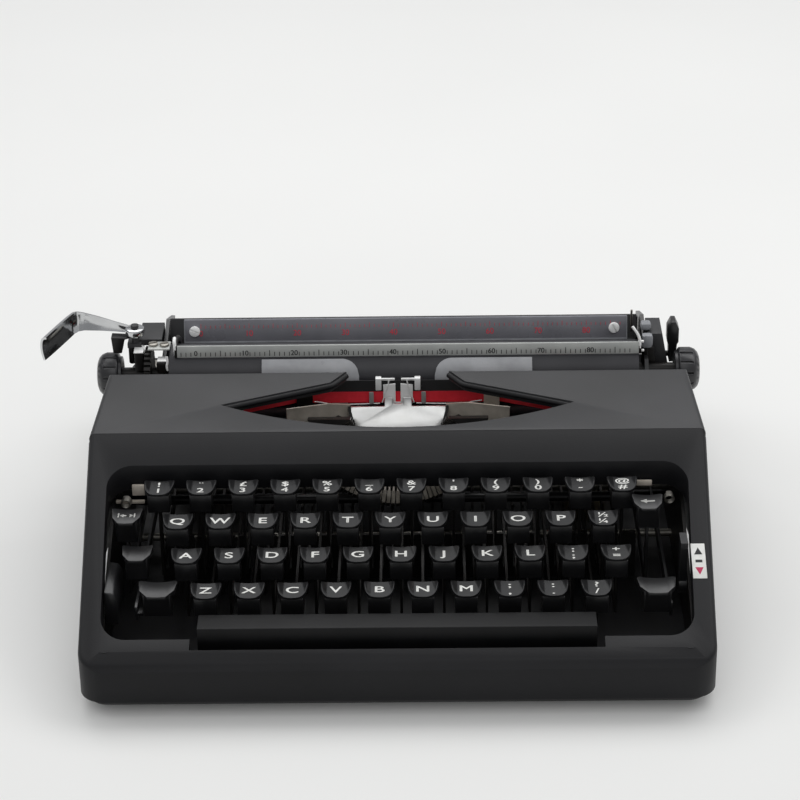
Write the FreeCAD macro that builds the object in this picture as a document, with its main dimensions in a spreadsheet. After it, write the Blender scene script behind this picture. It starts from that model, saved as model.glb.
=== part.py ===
import FreeCAD
import Part
import Sketcher
import os
import re

# Portable typewriter with four banks of keys, front-strike typebars and a sliding carriage.
# Drawn about the centre plane of the case: X to the right, Y to the back from the front
# face, Z up from the table. Every sub-part is then moved by the same origin shift, so that
# the row's origin lies in the middle of the space that the machine takes up on the table.

SIZES = {
    # place of the front face's centre in the finished frame
    "origin_x": 12.45,
    "origin_y": -145.0,
    # case
    "front_width": 293.0,
    "crease_width": 302.0,
    "back_width": 294.4,
    "case_depth": 290.0,
    "case_wall": 2.5,
    "case_base": 8.0,
    "front_height": 28.0,
    "front_bevel": 3.5,
    "crease_y": 125.0,
    "crease_z": 80.5,
    "cover_back_y": 184.0,
    "cover_back_z": 84.0,
    "deck_z": 38.0,
    "plan_corner": 12.0,
    "edge_round": 3.0,
    "skirt_split_z": 60.0,
    "split_gap": 0.4,
    "throat_back": 16.0,
    # keyboard well
    "well_front_y": 14.6,
    "well_back_y": 107.0,
    "well_front_side": 9.5,
    "well_back_side": 10.5,
    "well_corner": 12.0,
    "well_skirt": 13.0,
    "well_wall": 2.0,
    "notch_half": 95.5,
    "notch_y": 9.1,
    # opening over the type basket
    "basket_half": 88.0,
    "basket_tip_y": 151.3,
    "basket_front_y": 129.0,
    "basket_gap_half": 26.0,
    "basket_gap_y": 183.0,
    "basket_ramp_half": 34.0,
    "basket_ramp_y": 172.0,
    "basket_lip": 5.5,
    "basket_lip_wall": 1.6,
    # cover hinge
    "hinge_y": 128.5,
    "hinge_z": 75.5,
    "hinge_x": 118.0,
    "hinge_pin": 1.2,
    "hinge_eye": 2.3,
    "lug_width": 5.0,
    "ear_width": 5.0,
    # fits
    "running_fit": 0.05,
    "air_gap": 0.3,
    # pan, feet and case screws
    "foot_height": 4.5,
    "foot_radius": 8.5,
    "foot_tip": 7.2,
    "foot_inset": 24.0,
    "pan_front_side": 4.0,
    "pan_back_side": 4.7,
    "pan_inset": 3.5,
    "pan_wall": 1.5,
    "pan_rim": 8.0,
    "boss_inset": 8.0,
    "boss_radius": 3.6,
    "screw_radius": 1.6,
    "screw_head": 3.2,
    "screw_head_height": 1.4,
    "screw_length": 14.0,
    # chassis
    "plate_x": 137.6,
    "plate_wall": 1.5,
    "plate_front_y": 18.0,
    "plate_back_y": 272.0,
    "plate_front_z": 18.0,
    "plate_rise_y": 112.0,
    "plate_top_z": 57.0,
    "plate_low_z": 46.0,
    "plate_low_y": 194.0,
    "cross_front_y": 17.0,
    "cross_front_depth": 8.0,
    "cross_front_height": 2.2,
    "cross_mid_y": 182.0,
    "cross_mid_depth": 8.0,
    "cross_mid_z": 42.0,
    "rail_y": 252.0,
    "rail_depth": 12.0,
    "rail_z": 42.0,
    "rail_top": 50.0,
    "rail_groove": 2.0,
    # key levers
    "pivot_y": 172.0,
    "pivot_z": 22.0,
    "pivot_radius": 2.5,
    "eye_radius": 4.5,
    "lever_wall": 1.2,
    "lever_low": 19.0,
    "lever_high": 25.0,
    "riser_half": 3.0,
    # character keys
    "key_pitch": 20.3,
    "first_key_x": -114.9,
    "number_y": 95.8,
    "number_z": 67.7,
    "bank_step_y": 18.55,
    "bank_step_z": 7.9,
    "cap_back_half": 7.4,
    "cap_front_half": 6.5,
    "cap_nose_half": 3.6,
    "cap_back": 6.0,
    "cap_side": -2.6,
    "cap_nose": -7.0,
    "cap_rim": 2.6,
    "cap_height": 12.2,
    "cap_dish": 30.0,
    "cap_dish_depth": 0.9,
    "stem_half": 5.3,
    "stem_front": -5.4,
    "stem_back": 3.6,
    # comb that guides the key levers
    "comb_y": 109.5,
    "comb_wall": 1.6,
    "comb_half": 117.0,
    "comb_base": 8.0,
    "comb_top": 31.0,
    "comb_slot": 1.9,
    "comb_slot_low": 12.0,
    # space bar
    "bar_half": 92.0,
    "bar_front_y": 14.2,
    "bar_depth": 12.8,
    "bar_top_z": 38.4,
    "bar_height": 12.5,
    "bar_wall": 2.4,
    "bar_arm_left": -71.76,
    "bar_arm_right": 70.34,
    "bar_arm_low": 15.0,
    "bar_arm_high": 19.0,
    "bar_arm_room": 1.7,
    "bar_pivot_y": 140.0,
    "bar_pivot_z": 12.5,
    "bar_pivot_radius": 2.0,
    # function keys
    "shift_left_x": -112.0,
    "shift_right_x": 121.2,
    "shift_y": 40.0,
    "shift_z": 45.0,
    "shift_scale_half": 9.2,
    "shift_arm_left": -122.0,
    "shift_arm_right": 127.6,
    "shift_pivot_y": 148.0,
    "shift_pivot_z": 29.5,
    "lock_x": -123.2,
    "lock_y": 62.0,
    "lock_z": 51.5,
    "lock_pivot_y": 93.0,
    "lock_pivot_z": 31.5,
    "lock_pin": 1.2,
    "release_x": -129.3,
    "release_y": 80.5,
    "release_z": 61.0,
    "backspace_x": 119.6,
    "backspace_y": 82.2,
    "backspace_z": 65.5,
    # ribbon colour selector
    "selector_x": 133.7,
    "selector_pin": 1.5,
    "selector_y": 64.0,
    "selector_z": 30.0,
    "selector_top": 55.0,
    # type segment, its typebars and the printing point
    "print_gap": 1.0,
    "segment_tilt": 70.0,
    "segment_offset": 16.0,
    "segment_inner": 28.0,
    "segment_outer": 48.0,
    "segment_half": 5.0,
    "segment_chord": 14.0,
    "typebar_ring": 40.0,
    "typebar_length": 43.0,
    "typebar_count": 44,
    "typebar_angle": 2.75,
    "typebar_splay": 10.0,
    "typebar_wall": 0.9,
    "typebar_height": 4.0,
    "typebar_pin": 0.75,
    "typebar_tail": 3.0,
    "slug_width": 1.8,
    "slug_depth": 3.0,
    "slug_height": 7.0,
    "slug_tilt": 42.0,
    "slot_width": 1.1,
    "slot_depth": 4.6,
    # ribbon and what guides it
    "ribbon_y": 190.2,
    "ribbon_low": 62.0,
    "ribbon_width": 12.7,
    "ribbon_wall": 0.25,
    "ribbon_bend_x": 53.0,
    "spool_x": 98.0,
    "spool_y": 154.0,
    "spool_hub": 7.0,
    "spool_flange": 21.0,
    "spool_wall": 0.8,
    "spool_pack": 16.0,
    "spool_pin": 2.0,
    "wrap_x": 103.8,
    "wrap_y": 168.9,
    "guide_x": 48.0,
    "guide_half": 4.0,
    "vibrator_half": 11.5,
    "vibrator_slot": 3.2,
    "vibrator_floor": 62.6,
    "vibrator_neck": 6.5,
    "vibrator_wall": 0.9,
    # platen and carriage
    "platen_y": 210.0,
    "platen_z": 69.5,
    "platen_radius": 15.5,
    "platen_left": -118.0,
    "platen_right": 124.0,
    "platen_shaft_radius": 3.5,
    "knob_outer": 156.0,
    "knob_width": 12.6,
    "knob_radius": 11.4,
    "knob_neck": 1.6,
    "carriage_left": -122.5,
    "carriage_right": 127.5,
    "carriage_wall": 2.0,
    "carriage_base": 50.3,
    "carriage_back": 266.0,
    "feed_radius": 4.0,
    "feed_spread": 9.9,
    "feed_drop": 17.15,
    "feed_shaft": 1.5,
    # paper bail, table and scale
    "bail_left": -113.7,
    "bail_right": 124.0,
    "bail_y": 200.9,
    "bail_low": 83.2,
    "bail_high": 89.2,
    "bail_wall": 1.0,
    "bail_pivot_y": 229.0,
    "bail_pivot_z": 77.0,
    "bail_pin": 1.5,
    "table_left": -120.2,
    "table_right": 125.5,
    "window_left": -112.9,
    "window_right": 120.6,
    "window_low": 75.4,
    "window_high": 86.8,
    "window_y": 233.4,
    "window_lean": 4.0,
    "window_wall": 1.4,
    # end covers and the paper release lever on the right one
    "end_cover_top": 88.0,
    "end_cover_wall": 1.4,
    "end_cover_back": 22.8,
    "left_cover_x": -134.2,
    "left_cover_edge": 3.4,
    "end_cover_x": 140.3,
    "end_cover_lean": 3.3,
    "release_pin": 1.5,
    "release_pin_y": 227.0,
    "release_pin_z": 70.0,
    "release_grip": 6.0,
    "release_top": 90.0,
    # return lever
    "return_x": -136.0,
    "return_y": 213.0,
    "return_hub": 5.0,
    "return_wall": 1.6,
    "return_top": 100.0,
    "return_low": 86.0,
    # ratchet
    "ratchet_radius": 14.5,
    "ratchet_teeth": 30,
    "ratchet_x": -131.0,
    "ratchet_wall": 3.2,
    # margins
    "margin_y": 247.0,
    "margin_z": 66.0,
    "margin_depth": 4.0,
    "margin_height": 6.0,
    "stop_width": 8.0,
    # drive inside the case
    "drum_x": -104.0,
    "drum_y": 214.0,
    "drum_radius": 20.0,
    "drum_low": 14.0,
    "drum_high": 34.0,
    "escape_x": 14.0,
    "pinion_radius": 9.0,
    "rack_y": 226.0,
    "rack_depth": 3.0,
    "star_radius": 11.5,
    "bell_x": 96.0,
    "bell_y": 216.0,
    "bell_radius": 16.0,
    "bell_wall": 1.3,
}

doc = FreeCAD.newDocument("PortableTypewriter")
sheet = doc.addObject("Spreadsheet::Sheet", "Sizes")
for row, (name, value) in enumerate(SIZES.items(), 1):
    sheet.set("A%d" % row, name)
    sheet.set("B%d" % row, str(value))
    sheet.setAlias("B%d" % row, name)
doc.recompute()

X_AXIS = FreeCAD.Vector(1, 0, 0)
Y_AXIS = FreeCAD.Vector(0, 1, 0)
Z_AXIS = FreeCAD.Vector(0, 0, 1)
ALONG = {
    "X": FreeCAD.Rotation(Y_AXIS, 90),
    "Y": FreeCAD.Rotation(X_AXIS, -90),
    "Z": FreeCAD.Rotation(Z_AXIS, 0),
}
PLANE = {"X": "YZ_Plane", "Y": "XZ_Plane", "Z": "XY_Plane"}
parts = []


def formula(text):
    """Point each size named in the text at its cell in the sheet."""
    words = r"[a-z]\w*"
    return re.sub(words, lambda found: "Sizes." + found.group() if found.group() in SIZES
                  else found.group(), text)


def bind(item, setting, text):
    item.setExpression(setting, formula(text))


def place(item, x, y, z):
    bind(item, "Placement.Base.x", x)
    bind(item, "Placement.Base.y", y)
    bind(item, "Placement.Base.z", z)


def turn(item, axis, angle):
    item.Placement = FreeCAD.Placement(FreeCAD.Vector(), FreeCAD.Rotation(axis, 1))
    bind(item, "Placement.Rotation.Angle", angle)


def box(name, x, y, z):
    """A block between the low and high value of each of three pairs."""
    block = doc.addObject("Part::Box", name)
    bind(block, "Length", "(%s) - (%s)" % (x[1], x[0]))
    bind(block, "Width", "(%s) - (%s)" % (y[1], y[0]))
    bind(block, "Height", "(%s) - (%s)" % (z[1], z[0]))
    place(block, x[0], y[0], z[0])
    return block


def rod(name, axis, radius, span, centre):
    """A round bar along an axis; centre holds the two other coordinates, in X, Y, Z order."""
    bar = doc.addObject("Part::Cylinder", name)
    bar.Placement = FreeCAD.Placement(FreeCAD.Vector(), ALONG[axis])
    bind(bar, "Radius", radius)
    bind(bar, "Height", "(%s) - (%s)" % (span[1], span[0]))
    at = list(centre)
    at.insert("XYZ".index(axis), span[0])
    place(bar, *at)
    return bar


def origin_plane(body, axis):
    return [item for item in body.Origin.OriginFeatures if item.Role == PLANE[axis]][0]


def outline(body, name, axis, points, offset, holes=()):
    """A closed sketch across an axis, each corner tied to a pair of formulas."""
    sketch = body.newObject("Sketcher::SketchObject", name)
    sketch.AttachmentSupport = [(origin_plane(body, axis), "")]
    sketch.MapMode = "FlatFace"
    bind(sketch, "AttachmentOffset.Base.z", offset)
    count = len(points)
    spread = [FreeCAD.Rotation(Z_AXIS, 360.0 * i / count).multVec(X_AXIS) for i in range(count)]
    for i in range(count):
        sketch.addGeometry(Part.LineSegment(spread[i], spread[(i + 1) % count]))
    for i in range(count):
        sketch.addConstraint(Sketcher.Constraint("Coincident", i, 2, (i + 1) % count, 1))
    for i, corner in enumerate(points):
        tie_point(sketch, i, 1, spread[i], corner)
    for across, up, radius in holes:
        circle = sketch.addGeometry(Part.Circle(FreeCAD.Vector(), Z_AXIS, 1))
        tie_point(sketch, circle, 3, FreeCAD.Vector(), (across, up))
        size = sketch.addConstraint(Sketcher.Constraint("Radius", circle, 1))
        bind(sketch, "Constraints[%d]" % size, radius)
    return sketch


def tie_point(sketch, curve, end, guess, corner):
    for kind, start, text in zip(("DistanceX", "DistanceY"), guess, corner):
        rule = sketch.addConstraint(Sketcher.Constraint(kind, -1, 1, curve, end, start))
        bind(sketch, "Constraints[%d]" % rule, text)


def prism(name, axis, points, span, corner=None, holes=()):
    """A padded outline along an axis, with its edges along that axis rounded if asked."""
    body = doc.addObject("PartDesign::Body", name)
    # the plane across Y looks to the front, so a pad on it runs from back to front
    start = "-(%s)" % span[1] if axis == "Y" else span[0]
    sketch = outline(body, name + "_outline", axis, points, start, holes)
    pad = body.newObject("PartDesign::Pad", name + "_pad")
    pad.Profile = sketch
    bind(pad, "Length", "(%s) - (%s)" % (span[1], span[0]))
    if corner:
        doc.recompute()
        along = {"X": X_AXIS, "Y": Y_AXIS, "Z": Z_AXIS}[axis]
        round_edges(body, pad, name + "_corners", corner, lambda edge: runs_along(edge, along))
    return body


def runs_along(edge, axis):
    if edge.Curve.TypeId != "Part::GeomLine":
        return False
    return abs(edge.Curve.Direction.dot(axis)) > 0.999


def round_edges(body, feature, name, radius, wanted):
    names = ["Edge%d" % i for i, edge in enumerate(feature.Shape.Edges, 1) if wanted(edge)]
    fillet = body.newObject("PartDesign::Fillet", name)
    fillet.Base = (feature, names)
    bind(fillet, "Radius", radius)
    doc.recompute()
    return fillet


def turned(name, points):
    """A solid of revolution about X; each corner is a place along X and a radius."""
    body = doc.addObject("PartDesign::Body", name)
    sketch = outline(body, name + "_outline", "Y", points, "0")
    spin = body.newObject("PartDesign::Revolution", name + "_spin")
    spin.Profile = sketch
    spin.ReferenceAxis = (sketch, ["H_Axis"])
    spin.Angle = 360
    return body


def subtract(name, base, tools):
    cut = doc.addObject("Part::Cut", name)
    cut.Base = base
    cut.Tool = tools[0] if len(tools) == 1 else unite(name + "_tools", tools)
    return cut


def unite(name, items):
    whole = doc.addObject("Part::MultiFuse", name)
    whole.Shapes = items
    return whole


def overlap(name, items):
    common = doc.addObject("Part::MultiCommon", name)
    common.Shapes = items
    return common


def group(name, items):
    """Separate solids that share a node."""
    compound = doc.addObject("Part::Compound", name)
    compound.Links = items
    return compound


def mirror(name, item):
    flipped = doc.addObject("Part::Mirroring", name)
    flipped.Source = item
    flipped.Normal = X_AXIS
    return flipped


def copy(name, item, x="0", y="0", z="0"):
    twin = doc.addObject("App::Link", name)
    twin.LinkedObject = item
    place(twin, x, y, z)
    return twin


def finish(item, label, x="0", y="0", z="0"):
    """Name a sub-part and move it into the finished frame."""
    item.Label = label
    place(item, "origin_x + (%s)" % x, "origin_y + (%s)" % y, z)
    parts.append(item)


# --- case ------------------------------------------------------------------------------

SLOPE = "(crease_z - front_height) / (crease_y - front_bevel)"


def slope_z(y, drop="0"):
    """Height of the sloping keyboard surround at a distance from the front."""
    return "front_height + (%s) * ((%s) - front_bevel) - (%s)" % (SLOPE, y, drop)


def case_block(name, inset):
    """A closed block in the shape of the case, kept inside its outer faces by an inset."""
    body = doc.addObject("PartDesign::Body", name)
    drop = "1.09 * %s" % inset
    bevel_y = "front_bevel + 0.6 * %s" % inset
    side = outline(body, name + "_side", "X", [
        (inset, "case_base - " + inset), (inset, "front_height - front_bevel - 0.4 * %s" % inset),
        (bevel_y, slope_z(bevel_y, drop)), ("crease_y", "crease_z - " + drop),
        ("cover_back_y - " + inset, "cover_back_z - " + drop),
        ("cover_back_y - " + inset, "deck_z - " + inset),
        ("case_depth - " + inset, "deck_z - " + inset),
        ("case_depth - " + inset, "case_base - " + inset),
    ], "-crease_width")
    pad = body.newObject("PartDesign::Pad", name + "_pad")
    pad.Profile = side
    bind(pad, "Length", "2 * crease_width")
    halves = [("front_width", inset), ("crease_width", "crease_y"), ("back_width", "cover_back_y"),
              ("back_width", "case_depth - " + inset)]
    right = [("%s / 2 - %s" % (width, inset), y) for width, y in halves]
    left = [("-(%s)" % x, y) for x, y in reversed(right)]
    plan = outline(body, name + "_plan", "Z", right + left, "0")
    trim_frame(plan)
    trim = body.newObject("PartDesign::Pocket", name + "_trim")
    trim.Profile = plan
    trim.Type = "ThroughAll"
    trim.Midplane = True
    doc.recompute()
    middle = sheet.get("crease_y")
    ends = round_edges(body, trim, name + "_corners", "plan_corner - " + inset, lambda edge: (
        runs_along(edge, Z_AXIS) and edge.CenterOfMass.z < sheet.get("deck_z")
        and abs(edge.CenterOfMass.y - middle) > middle - 5))
    return body, ends


def case_form():
    """The closed shell that housing and cover are both cut from, open below."""
    outer, ends = case_block("case_outer", "0")
    round_edges(outer, ends, "case_top_edges", "edge_round", is_top_side)
    inner, rest = case_block("case_inner", "case_wall")
    return subtract("case_shell", outer, [inner])


def trim_frame(sketch):
    """A wide rectangle round the plan outline, so that a pocket takes what lies between."""
    reach = 3 * sheet.get("crease_width")
    corners = [(-reach, -reach), (reach, -reach), (reach, reach), (-reach, reach)]
    first = sketch.GeometryCount
    for i in range(4):
        ends = [FreeCAD.Vector(x, y, 0) for x, y in (corners[i], corners[(i + 1) % 4])]
        sketch.addGeometry(Part.LineSegment(*ends))
    for i in range(4):
        sketch.addConstraint(
            Sketcher.Constraint("Coincident", first + i, 2, first + (i + 1) % 4, 1))


def is_top_side(edge):
    """Edges that run along both sides of the sloping surround and round the raised lid."""
    middle = edge.CenterOfMass
    if abs(middle.x) < 1:
        return abs(middle.y - sheet.get("cover_back_y")) < 1 and middle.z > sheet.get("crease_z")
    beside = edge.BoundBox.YLength > 0.8 * (sheet.get("cover_back_y") - sheet.get("crease_y"))
    return (beside and middle.y < sheet.get("cover_back_y")
            and middle.z > sheet.get("front_height"))


def well_prism(name, grow):
    """The upright sides of the keyboard well, grown outwards by an amount."""
    front = "front_width / 2 - well_front_side + %s"
    back = "crease_width / 2 - well_back_side + %s"
    points = [("-(" + front + ")", "well_front_y - %s"), (front, "well_front_y - %s"),
              (back, "well_back_y + %s"), ("-(" + back + ")", "well_back_y + %s")]
    points = [(across % grow, up % grow) for across, up in points]
    return prism(name, "Z", points, ("0", "2 * crease_z"), "well_corner + %s" % grow)


def basket_outline(grow):
    """Half-lens opening over the type basket, open to the back between the two ramps."""
    right = [("basket_gap_half + %s", "cover_back_y + 3"),
             ("basket_gap_half + %s", "basket_gap_y - %s / 2"),
             ("basket_ramp_half + %s / 2", "basket_ramp_y + %s"),
             ("basket_half - 3", "basket_tip_y + 1.2 + %s"),
             ("basket_half + %s", "basket_tip_y"),
             ("basket_half - 2.5", "basket_tip_y - 1.4 - %s")]
    right = [(across.replace("%s", grow), up.replace("%s", grow)) for across, up in right]
    right.append(("basket_half / 2", "basket_front_y - 20"))
    left = [("-(%s)" % across, up) for across, up in reversed(right)]
    return right + left


def basket_prism(name, grow):
    wedge = prism(name + "_wedge", "Z", basket_outline(grow), ("0", "2 * crease_z"))
    # the front edge is one wide arc through the two tips
    sag = "(basket_tip_y - 1.4 - basket_front_y)"
    reach = "((basket_half - 2.5)^2 + %s^2) / (2 * %s)" % (sag, sag)
    arc = rod(name + "_arc", "Z", "%s + %s" % (reach, grow), ("0", "2 * crease_z"),
              ("0", "basket_front_y + %s" % reach))
    return overlap(name, [wedge, arc])


def slab(name, drop_top, drop_low, span):
    """A layer under the sloping surround, between two depths below it."""
    front, back = span
    points = [(front, slope_z(front, drop_low)), (back, slope_z(back, drop_low)),
              (back, slope_z(back, drop_top)), (front, slope_z(front, drop_top))]
    return prism(name, "X", points, ("-crease_width / 2", "crease_width / 2"))


def cover_region(name, gap):
    """What belongs to the lift-up cover; the housing keeps clear of its swing."""
    front = "crease_y + %s" % gap
    points = [(front, "2 * crease_z"), (front, "crease_z + %s" % gap)]
    if gap == "0":
        points += [("crease_y - 2.7", "crease_z - case_wall"), ("crease_y - 2.7", "hinge_z - 6")]
    points += [(front, "hinge_z - 7"), (front, "skirt_split_z + 2 * %s" % gap),
               ("cover_back_y + 3", "skirt_split_z + 2 * %s" % gap),
               ("cover_back_y + 3", "2 * crease_z")]
    return prism(name, "X", points, ("-crease_width", "crease_width"))


# half widths of the pan at the front and at the back, a named gap inside the case
PAN_FRONT = "(front_width / 2 - pan_front_side)"
PAN_BACK = "(back_width / 2 - pan_back_side)"


def boss_places():
    for sign in ("-", ""):
        yield "%s(%s - boss_inset)" % (sign, PAN_FRONT), "pan_inset + boss_inset"
        yield "%s(%s - boss_inset)" % (sign, PAN_BACK), "case_depth - pan_inset - boss_inset"


def hinge_lug(sign):
    """Bracket under the crease that carries a moulded hinge pin."""
    inner = "%s(hinge_x + lug_width / 2)" % sign
    outer = "%s(hinge_x - lug_width / 2)" % sign
    span = (outer, inner) if sign == "" else (inner, outer)
    arm_y = "hinge_y - 12"
    points = [(arm_y, slope_z(arm_y, "0.6 * case_wall")), (arm_y, "hinge_z - 7.5"),
              ("hinge_y + hinge_eye", "hinge_z - 7.5"), ("hinge_y + hinge_eye", "hinge_z"),
              ("hinge_y - hinge_eye", "hinge_z"), ("hinge_y - hinge_eye", "hinge_z - 4.8"),
              ("hinge_y - 8", "hinge_z - 4.8"),
              ("hinge_y - 8", slope_z("hinge_y - 8", "0.6 * case_wall"))]
    name = "lug_right" if sign == "" else "lug_left"
    arm = prism(name, "X", points, span)
    eye = rod(name + "_eye", "X", "hinge_eye", span, ("hinge_y", "hinge_z"))
    pin_end = "%s(hinge_x + lug_width / 2 + ear_width)" % sign
    pin_span = (outer, pin_end) if sign == "" else (pin_end, outer)
    pin = rod(name + "_pin", "X", "hinge_pin", pin_span, ("hinge_y", "hinge_z"))
    return [arm, eye, pin]


def cover_ear(sign):
    near = "hinge_x + lug_width / 2 + air_gap"
    far = "hinge_x + lug_width / 2 + ear_width"
    span = (near, far) if sign == "" else ("-(%s)" % far, "-(%s)" % near)
    points = [("hinge_y - hinge_eye", "hinge_z"), ("hinge_y + hinge_eye", "hinge_z"),
              ("hinge_y + hinge_eye", "crease_z - 0.5 * case_wall"),
              ("hinge_y - hinge_eye", "crease_z - 0.5 * case_wall")]
    name = "ear_right" if sign == "" else "ear_left"
    block = prism(name, "X", points, span)
    eye = rod(name + "_eye", "X", "hinge_eye", span, ("hinge_y", "hinge_z"))
    return [block, eye]


def make_case():
    form = case_form()
    throat = box("carriage_throat", ("-(back_width / 2 - case_wall - 2)", "back_width / 2 - case_wall - 2"),
                 ("cover_back_y - 6", "case_depth - throat_back"),
                 ("deck_z - 6", "skirt_split_z + 20.5"))
    well = well_prism("well_hole", "0")
    notch = box("bar_notch", ("-notch_half", "notch_half"), ("notch_y", "well_front_y + 20"),
                ("case_base + 4", "2 * crease_z"))
    bosses = []
    bores = []
    for i, (x, y) in enumerate(boss_places()):
        top = slope_z(y, "case_wall / 2") if i % 2 == 0 else "deck_z - case_wall / 2"
        low = "foot_height + pan_wall + air_gap"
        bosses.append(rod("boss_%d" % i, "Z", "boss_radius", (low, top), (x, y)))
        bores.append(rod("boss_bore_%d" % i, "Z", "screw_radius + running_fit",
                         ("foot_height", "foot_height + screw_length + 1"), (x, y)))
    shell = subtract("housing_shell", form, [cover_region("cover_room", "0"), throat])
    ring = subtract("well_ring", well_prism("well_outer", "well_wall"),
                    [well_prism("well_inner", "0")])
    skirt = overlap("well_skirt_band", [ring, slab(
        "skirt_band", "0.5 * case_wall", "well_skirt", ("well_front_y - well_wall", "crease_y - 8"))])
    solid = unite("housing_solid", [shell, skirt] + bosses + hinge_lug("-") + hinge_lug(""))
    housing = subtract("main_housing", solid, [well, notch] + bores)
    finish(housing, "main_housing")

    lid_shell = overlap("lid_shell", [copy("lid_form", form), cover_region("lid_region", "split_gap")])
    lip_room = box("lid_back_room", ("-(back_width / 2 - case_wall - 2)", "back_width / 2 - case_wall - 2"),
                   ("cover_back_y - case_wall - 1", "cover_back_y + 3"),
                   ("skirt_split_z", "cover_back_z - basket_lip"))
    lip = overlap("basket_lip_band", [
        basket_prism("basket_lip_outer", "basket_lip_wall"),
        prism("basket_lip_layer", "X", [
            ("crease_y + 1", "crease_z - basket_lip"), ("cover_back_y", "cover_back_z - basket_lip"),
            ("cover_back_y", "cover_back_z - 1"), ("crease_y + 1", "crease_z - 1")],
            ("-crease_width / 2", "crease_width / 2"))])
    lid = unite("lid_solid", [subtract("lid_trimmed", lid_shell, [lip_room]), lip]
                + cover_ear("-") + cover_ear(""))
    bore = rod("lid_bore", "X", "hinge_pin + running_fit", ("-crease_width / 2", "crease_width / 2"),
               ("hinge_y", "hinge_z"))
    cover = subtract("ribbon_cover", lid, [basket_prism("basket_hole", "0"), bore])
    finish(cover, "ribbon_cover")


def make_pan():
    def tray(name, inset, span):
        near = "(%s - %s)" % (PAN_FRONT, inset)
        far = "(%s - %s)" % (PAN_BACK, inset)
        front = "pan_inset + %s" % inset
        back = "case_depth - pan_inset - %s" % inset
        return prism(name, "Z", [("-" + near, front), (near, front), (far, back), ("-" + far, back)],
                     span, "plan_corner - pan_inset - %s" % inset)

    floor = "foot_height + pan_wall"
    outer = tray("pan_outer", "0", ("foot_height", floor + " + pan_rim"))
    inner = tray("pan_inner", "pan_wall", (floor, floor + " + 2 * pan_rim"))
    holes = []
    shanks = []
    for i, (x, y) in enumerate(boss_places()):
        holes.append(rod("pan_hole_%d" % i, "Z", "screw_radius + running_fit",
                         ("0", "2 * foot_height"), (x, y)))
        shank = rod("case_screw_shank_%d" % i, "Z", "screw_radius",
                    ("foot_height - screw_head_height / 2", "foot_height + screw_length"), (x, y))
        head = rod("case_screw_head_%d" % i, "Z", "screw_head",
                   ("foot_height - screw_head_height", "foot_height"), (x, y))
        shanks.append(unite("case_screw_%d" % i, [shank, head]))
    finish(subtract("bottom_pan", outer, [inner] + holes), "bottom_pan")
    finish(group("case_screws", shanks), "case_screws")

    feet = []
    for i, sign in enumerate(("-", "")):
        corners = ((PAN_FRONT, "foot_inset"), (PAN_BACK, "case_depth - foot_inset"))
        for j, (half, y) in enumerate(corners):
            foot = doc.addObject("Part::Cone", "foot_%d_%d" % (i, j))
            bind(foot, "Radius1", "foot_tip")
            bind(foot, "Radius2", "foot_radius")
            bind(foot, "Height", "foot_height")
            place(foot, "%s(%s - foot_inset)" % (sign, half), y, "0")
            feet.append(foot)
    finish(group("rubber_feet", feet), "rubber_feet")


# --- chassis ---------------------------------------------------------------------------

def make_chassis():
    base = "foot_height + pan_wall"
    holes = [("pivot_y", "pivot_z", "pivot_radius + running_fit"),
             ("bar_pivot_y", "bar_pivot_z", "bar_pivot_radius + running_fit"),
             ("shift_pivot_y", "shift_pivot_z", "pivot_radius + running_fit"),
             ("selector_y", "selector_z", "selector_pin + running_fit")]
    plate = prism("side_plate", "X", [
        ("plate_front_y", base), ("plate_back_y", base), ("plate_back_y", "rail_top"),
        ("rail_y - 4", "rail_top"), ("rail_y - 8", "plate_low_z"), ("plate_low_y", "plate_low_z"),
        ("cross_mid_y", "plate_top_z"), ("plate_rise_y", "plate_top_z"),
        ("plate_front_y", "plate_front_z"),
    ], ("plate_x", "plate_x + plate_wall"), None, holes)
    finish(group("side_plates", [plate, mirror("side_plate_mirror", plate)]), "side_plates")

    between = ("-plate_x", "plate_x")
    front = box("cross_front", between, ("cross_front_y", "cross_front_y + cross_front_depth"),
                (base, base + " + cross_front_height"))
    middle = box("cross_middle", between, ("cross_mid_y", "cross_mid_y + cross_mid_depth"),
                 ("cross_mid_z", "plate_low_z"))
    at = ("drum_x", "drum_y")
    post = unite("drum_post", [rod("drum_axle", "Z", "3", (base, "drum_high + 2"), at),
                               rod("drum_collar", "Z", "6", (base, "drum_low - air_gap"), at)])
    finish(group("cross_members", [front, middle, post]), "cross_members")

    rail = box("rail_bar", between, ("rail_y", "rail_y + rail_depth"), ("rail_z", "rail_top"))
    groove = [("rail_y", "rail_y + 1.2"), ("rail_y + rail_depth - 1.2", "rail_y + rail_depth")]
    middle_z = "(rail_z + rail_top) / 2"
    cuts = [box("rail_groove_%d" % i, between, span,
                (middle_z + " - rail_groove / 2", middle_z + " + rail_groove / 2"))
            for i, span in enumerate(groove)]
    bracket = prism("escapement_bracket", "X", [
        ("rail_y - 22", "rail_z - 9"), ("rail_y", "rail_z - 9"), ("rail_y", "rail_top - 1"),
        ("rail_y - 1.5", "rail_top - 1"), ("rail_y - 1.5", "rail_z - 7.5"),
        ("rail_y - 22", "rail_z - 7.5")], ("escape_x - 14", "escape_x + 14"))
    seat = rod("escapement_seat", "Z", "2 + running_fit", ("rail_z - 10", "rail_z"),
               ("escape_x", "rack_y + rack_depth + pinion_radius + air_gap"))
    finish(group("carriage_rail", [subtract("rail_body", rail, cuts),
                                   subtract("escapement_plate", bracket, [seat])]), "carriage_rail")

    reach = ("-(plate_x + plate_wall)", "plate_x + plate_wall")
    fulcrum = rod("key_fulcrum", "X", "pivot_radius", reach, ("pivot_y", "pivot_z"))
    bar_rod = rod("space_bar_rod", "X", "bar_pivot_radius", reach, ("bar_pivot_y", "bar_pivot_z"))
    finish(group("pivot_rods", [fulcrum, bar_rod]), "pivot_rods")


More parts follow.
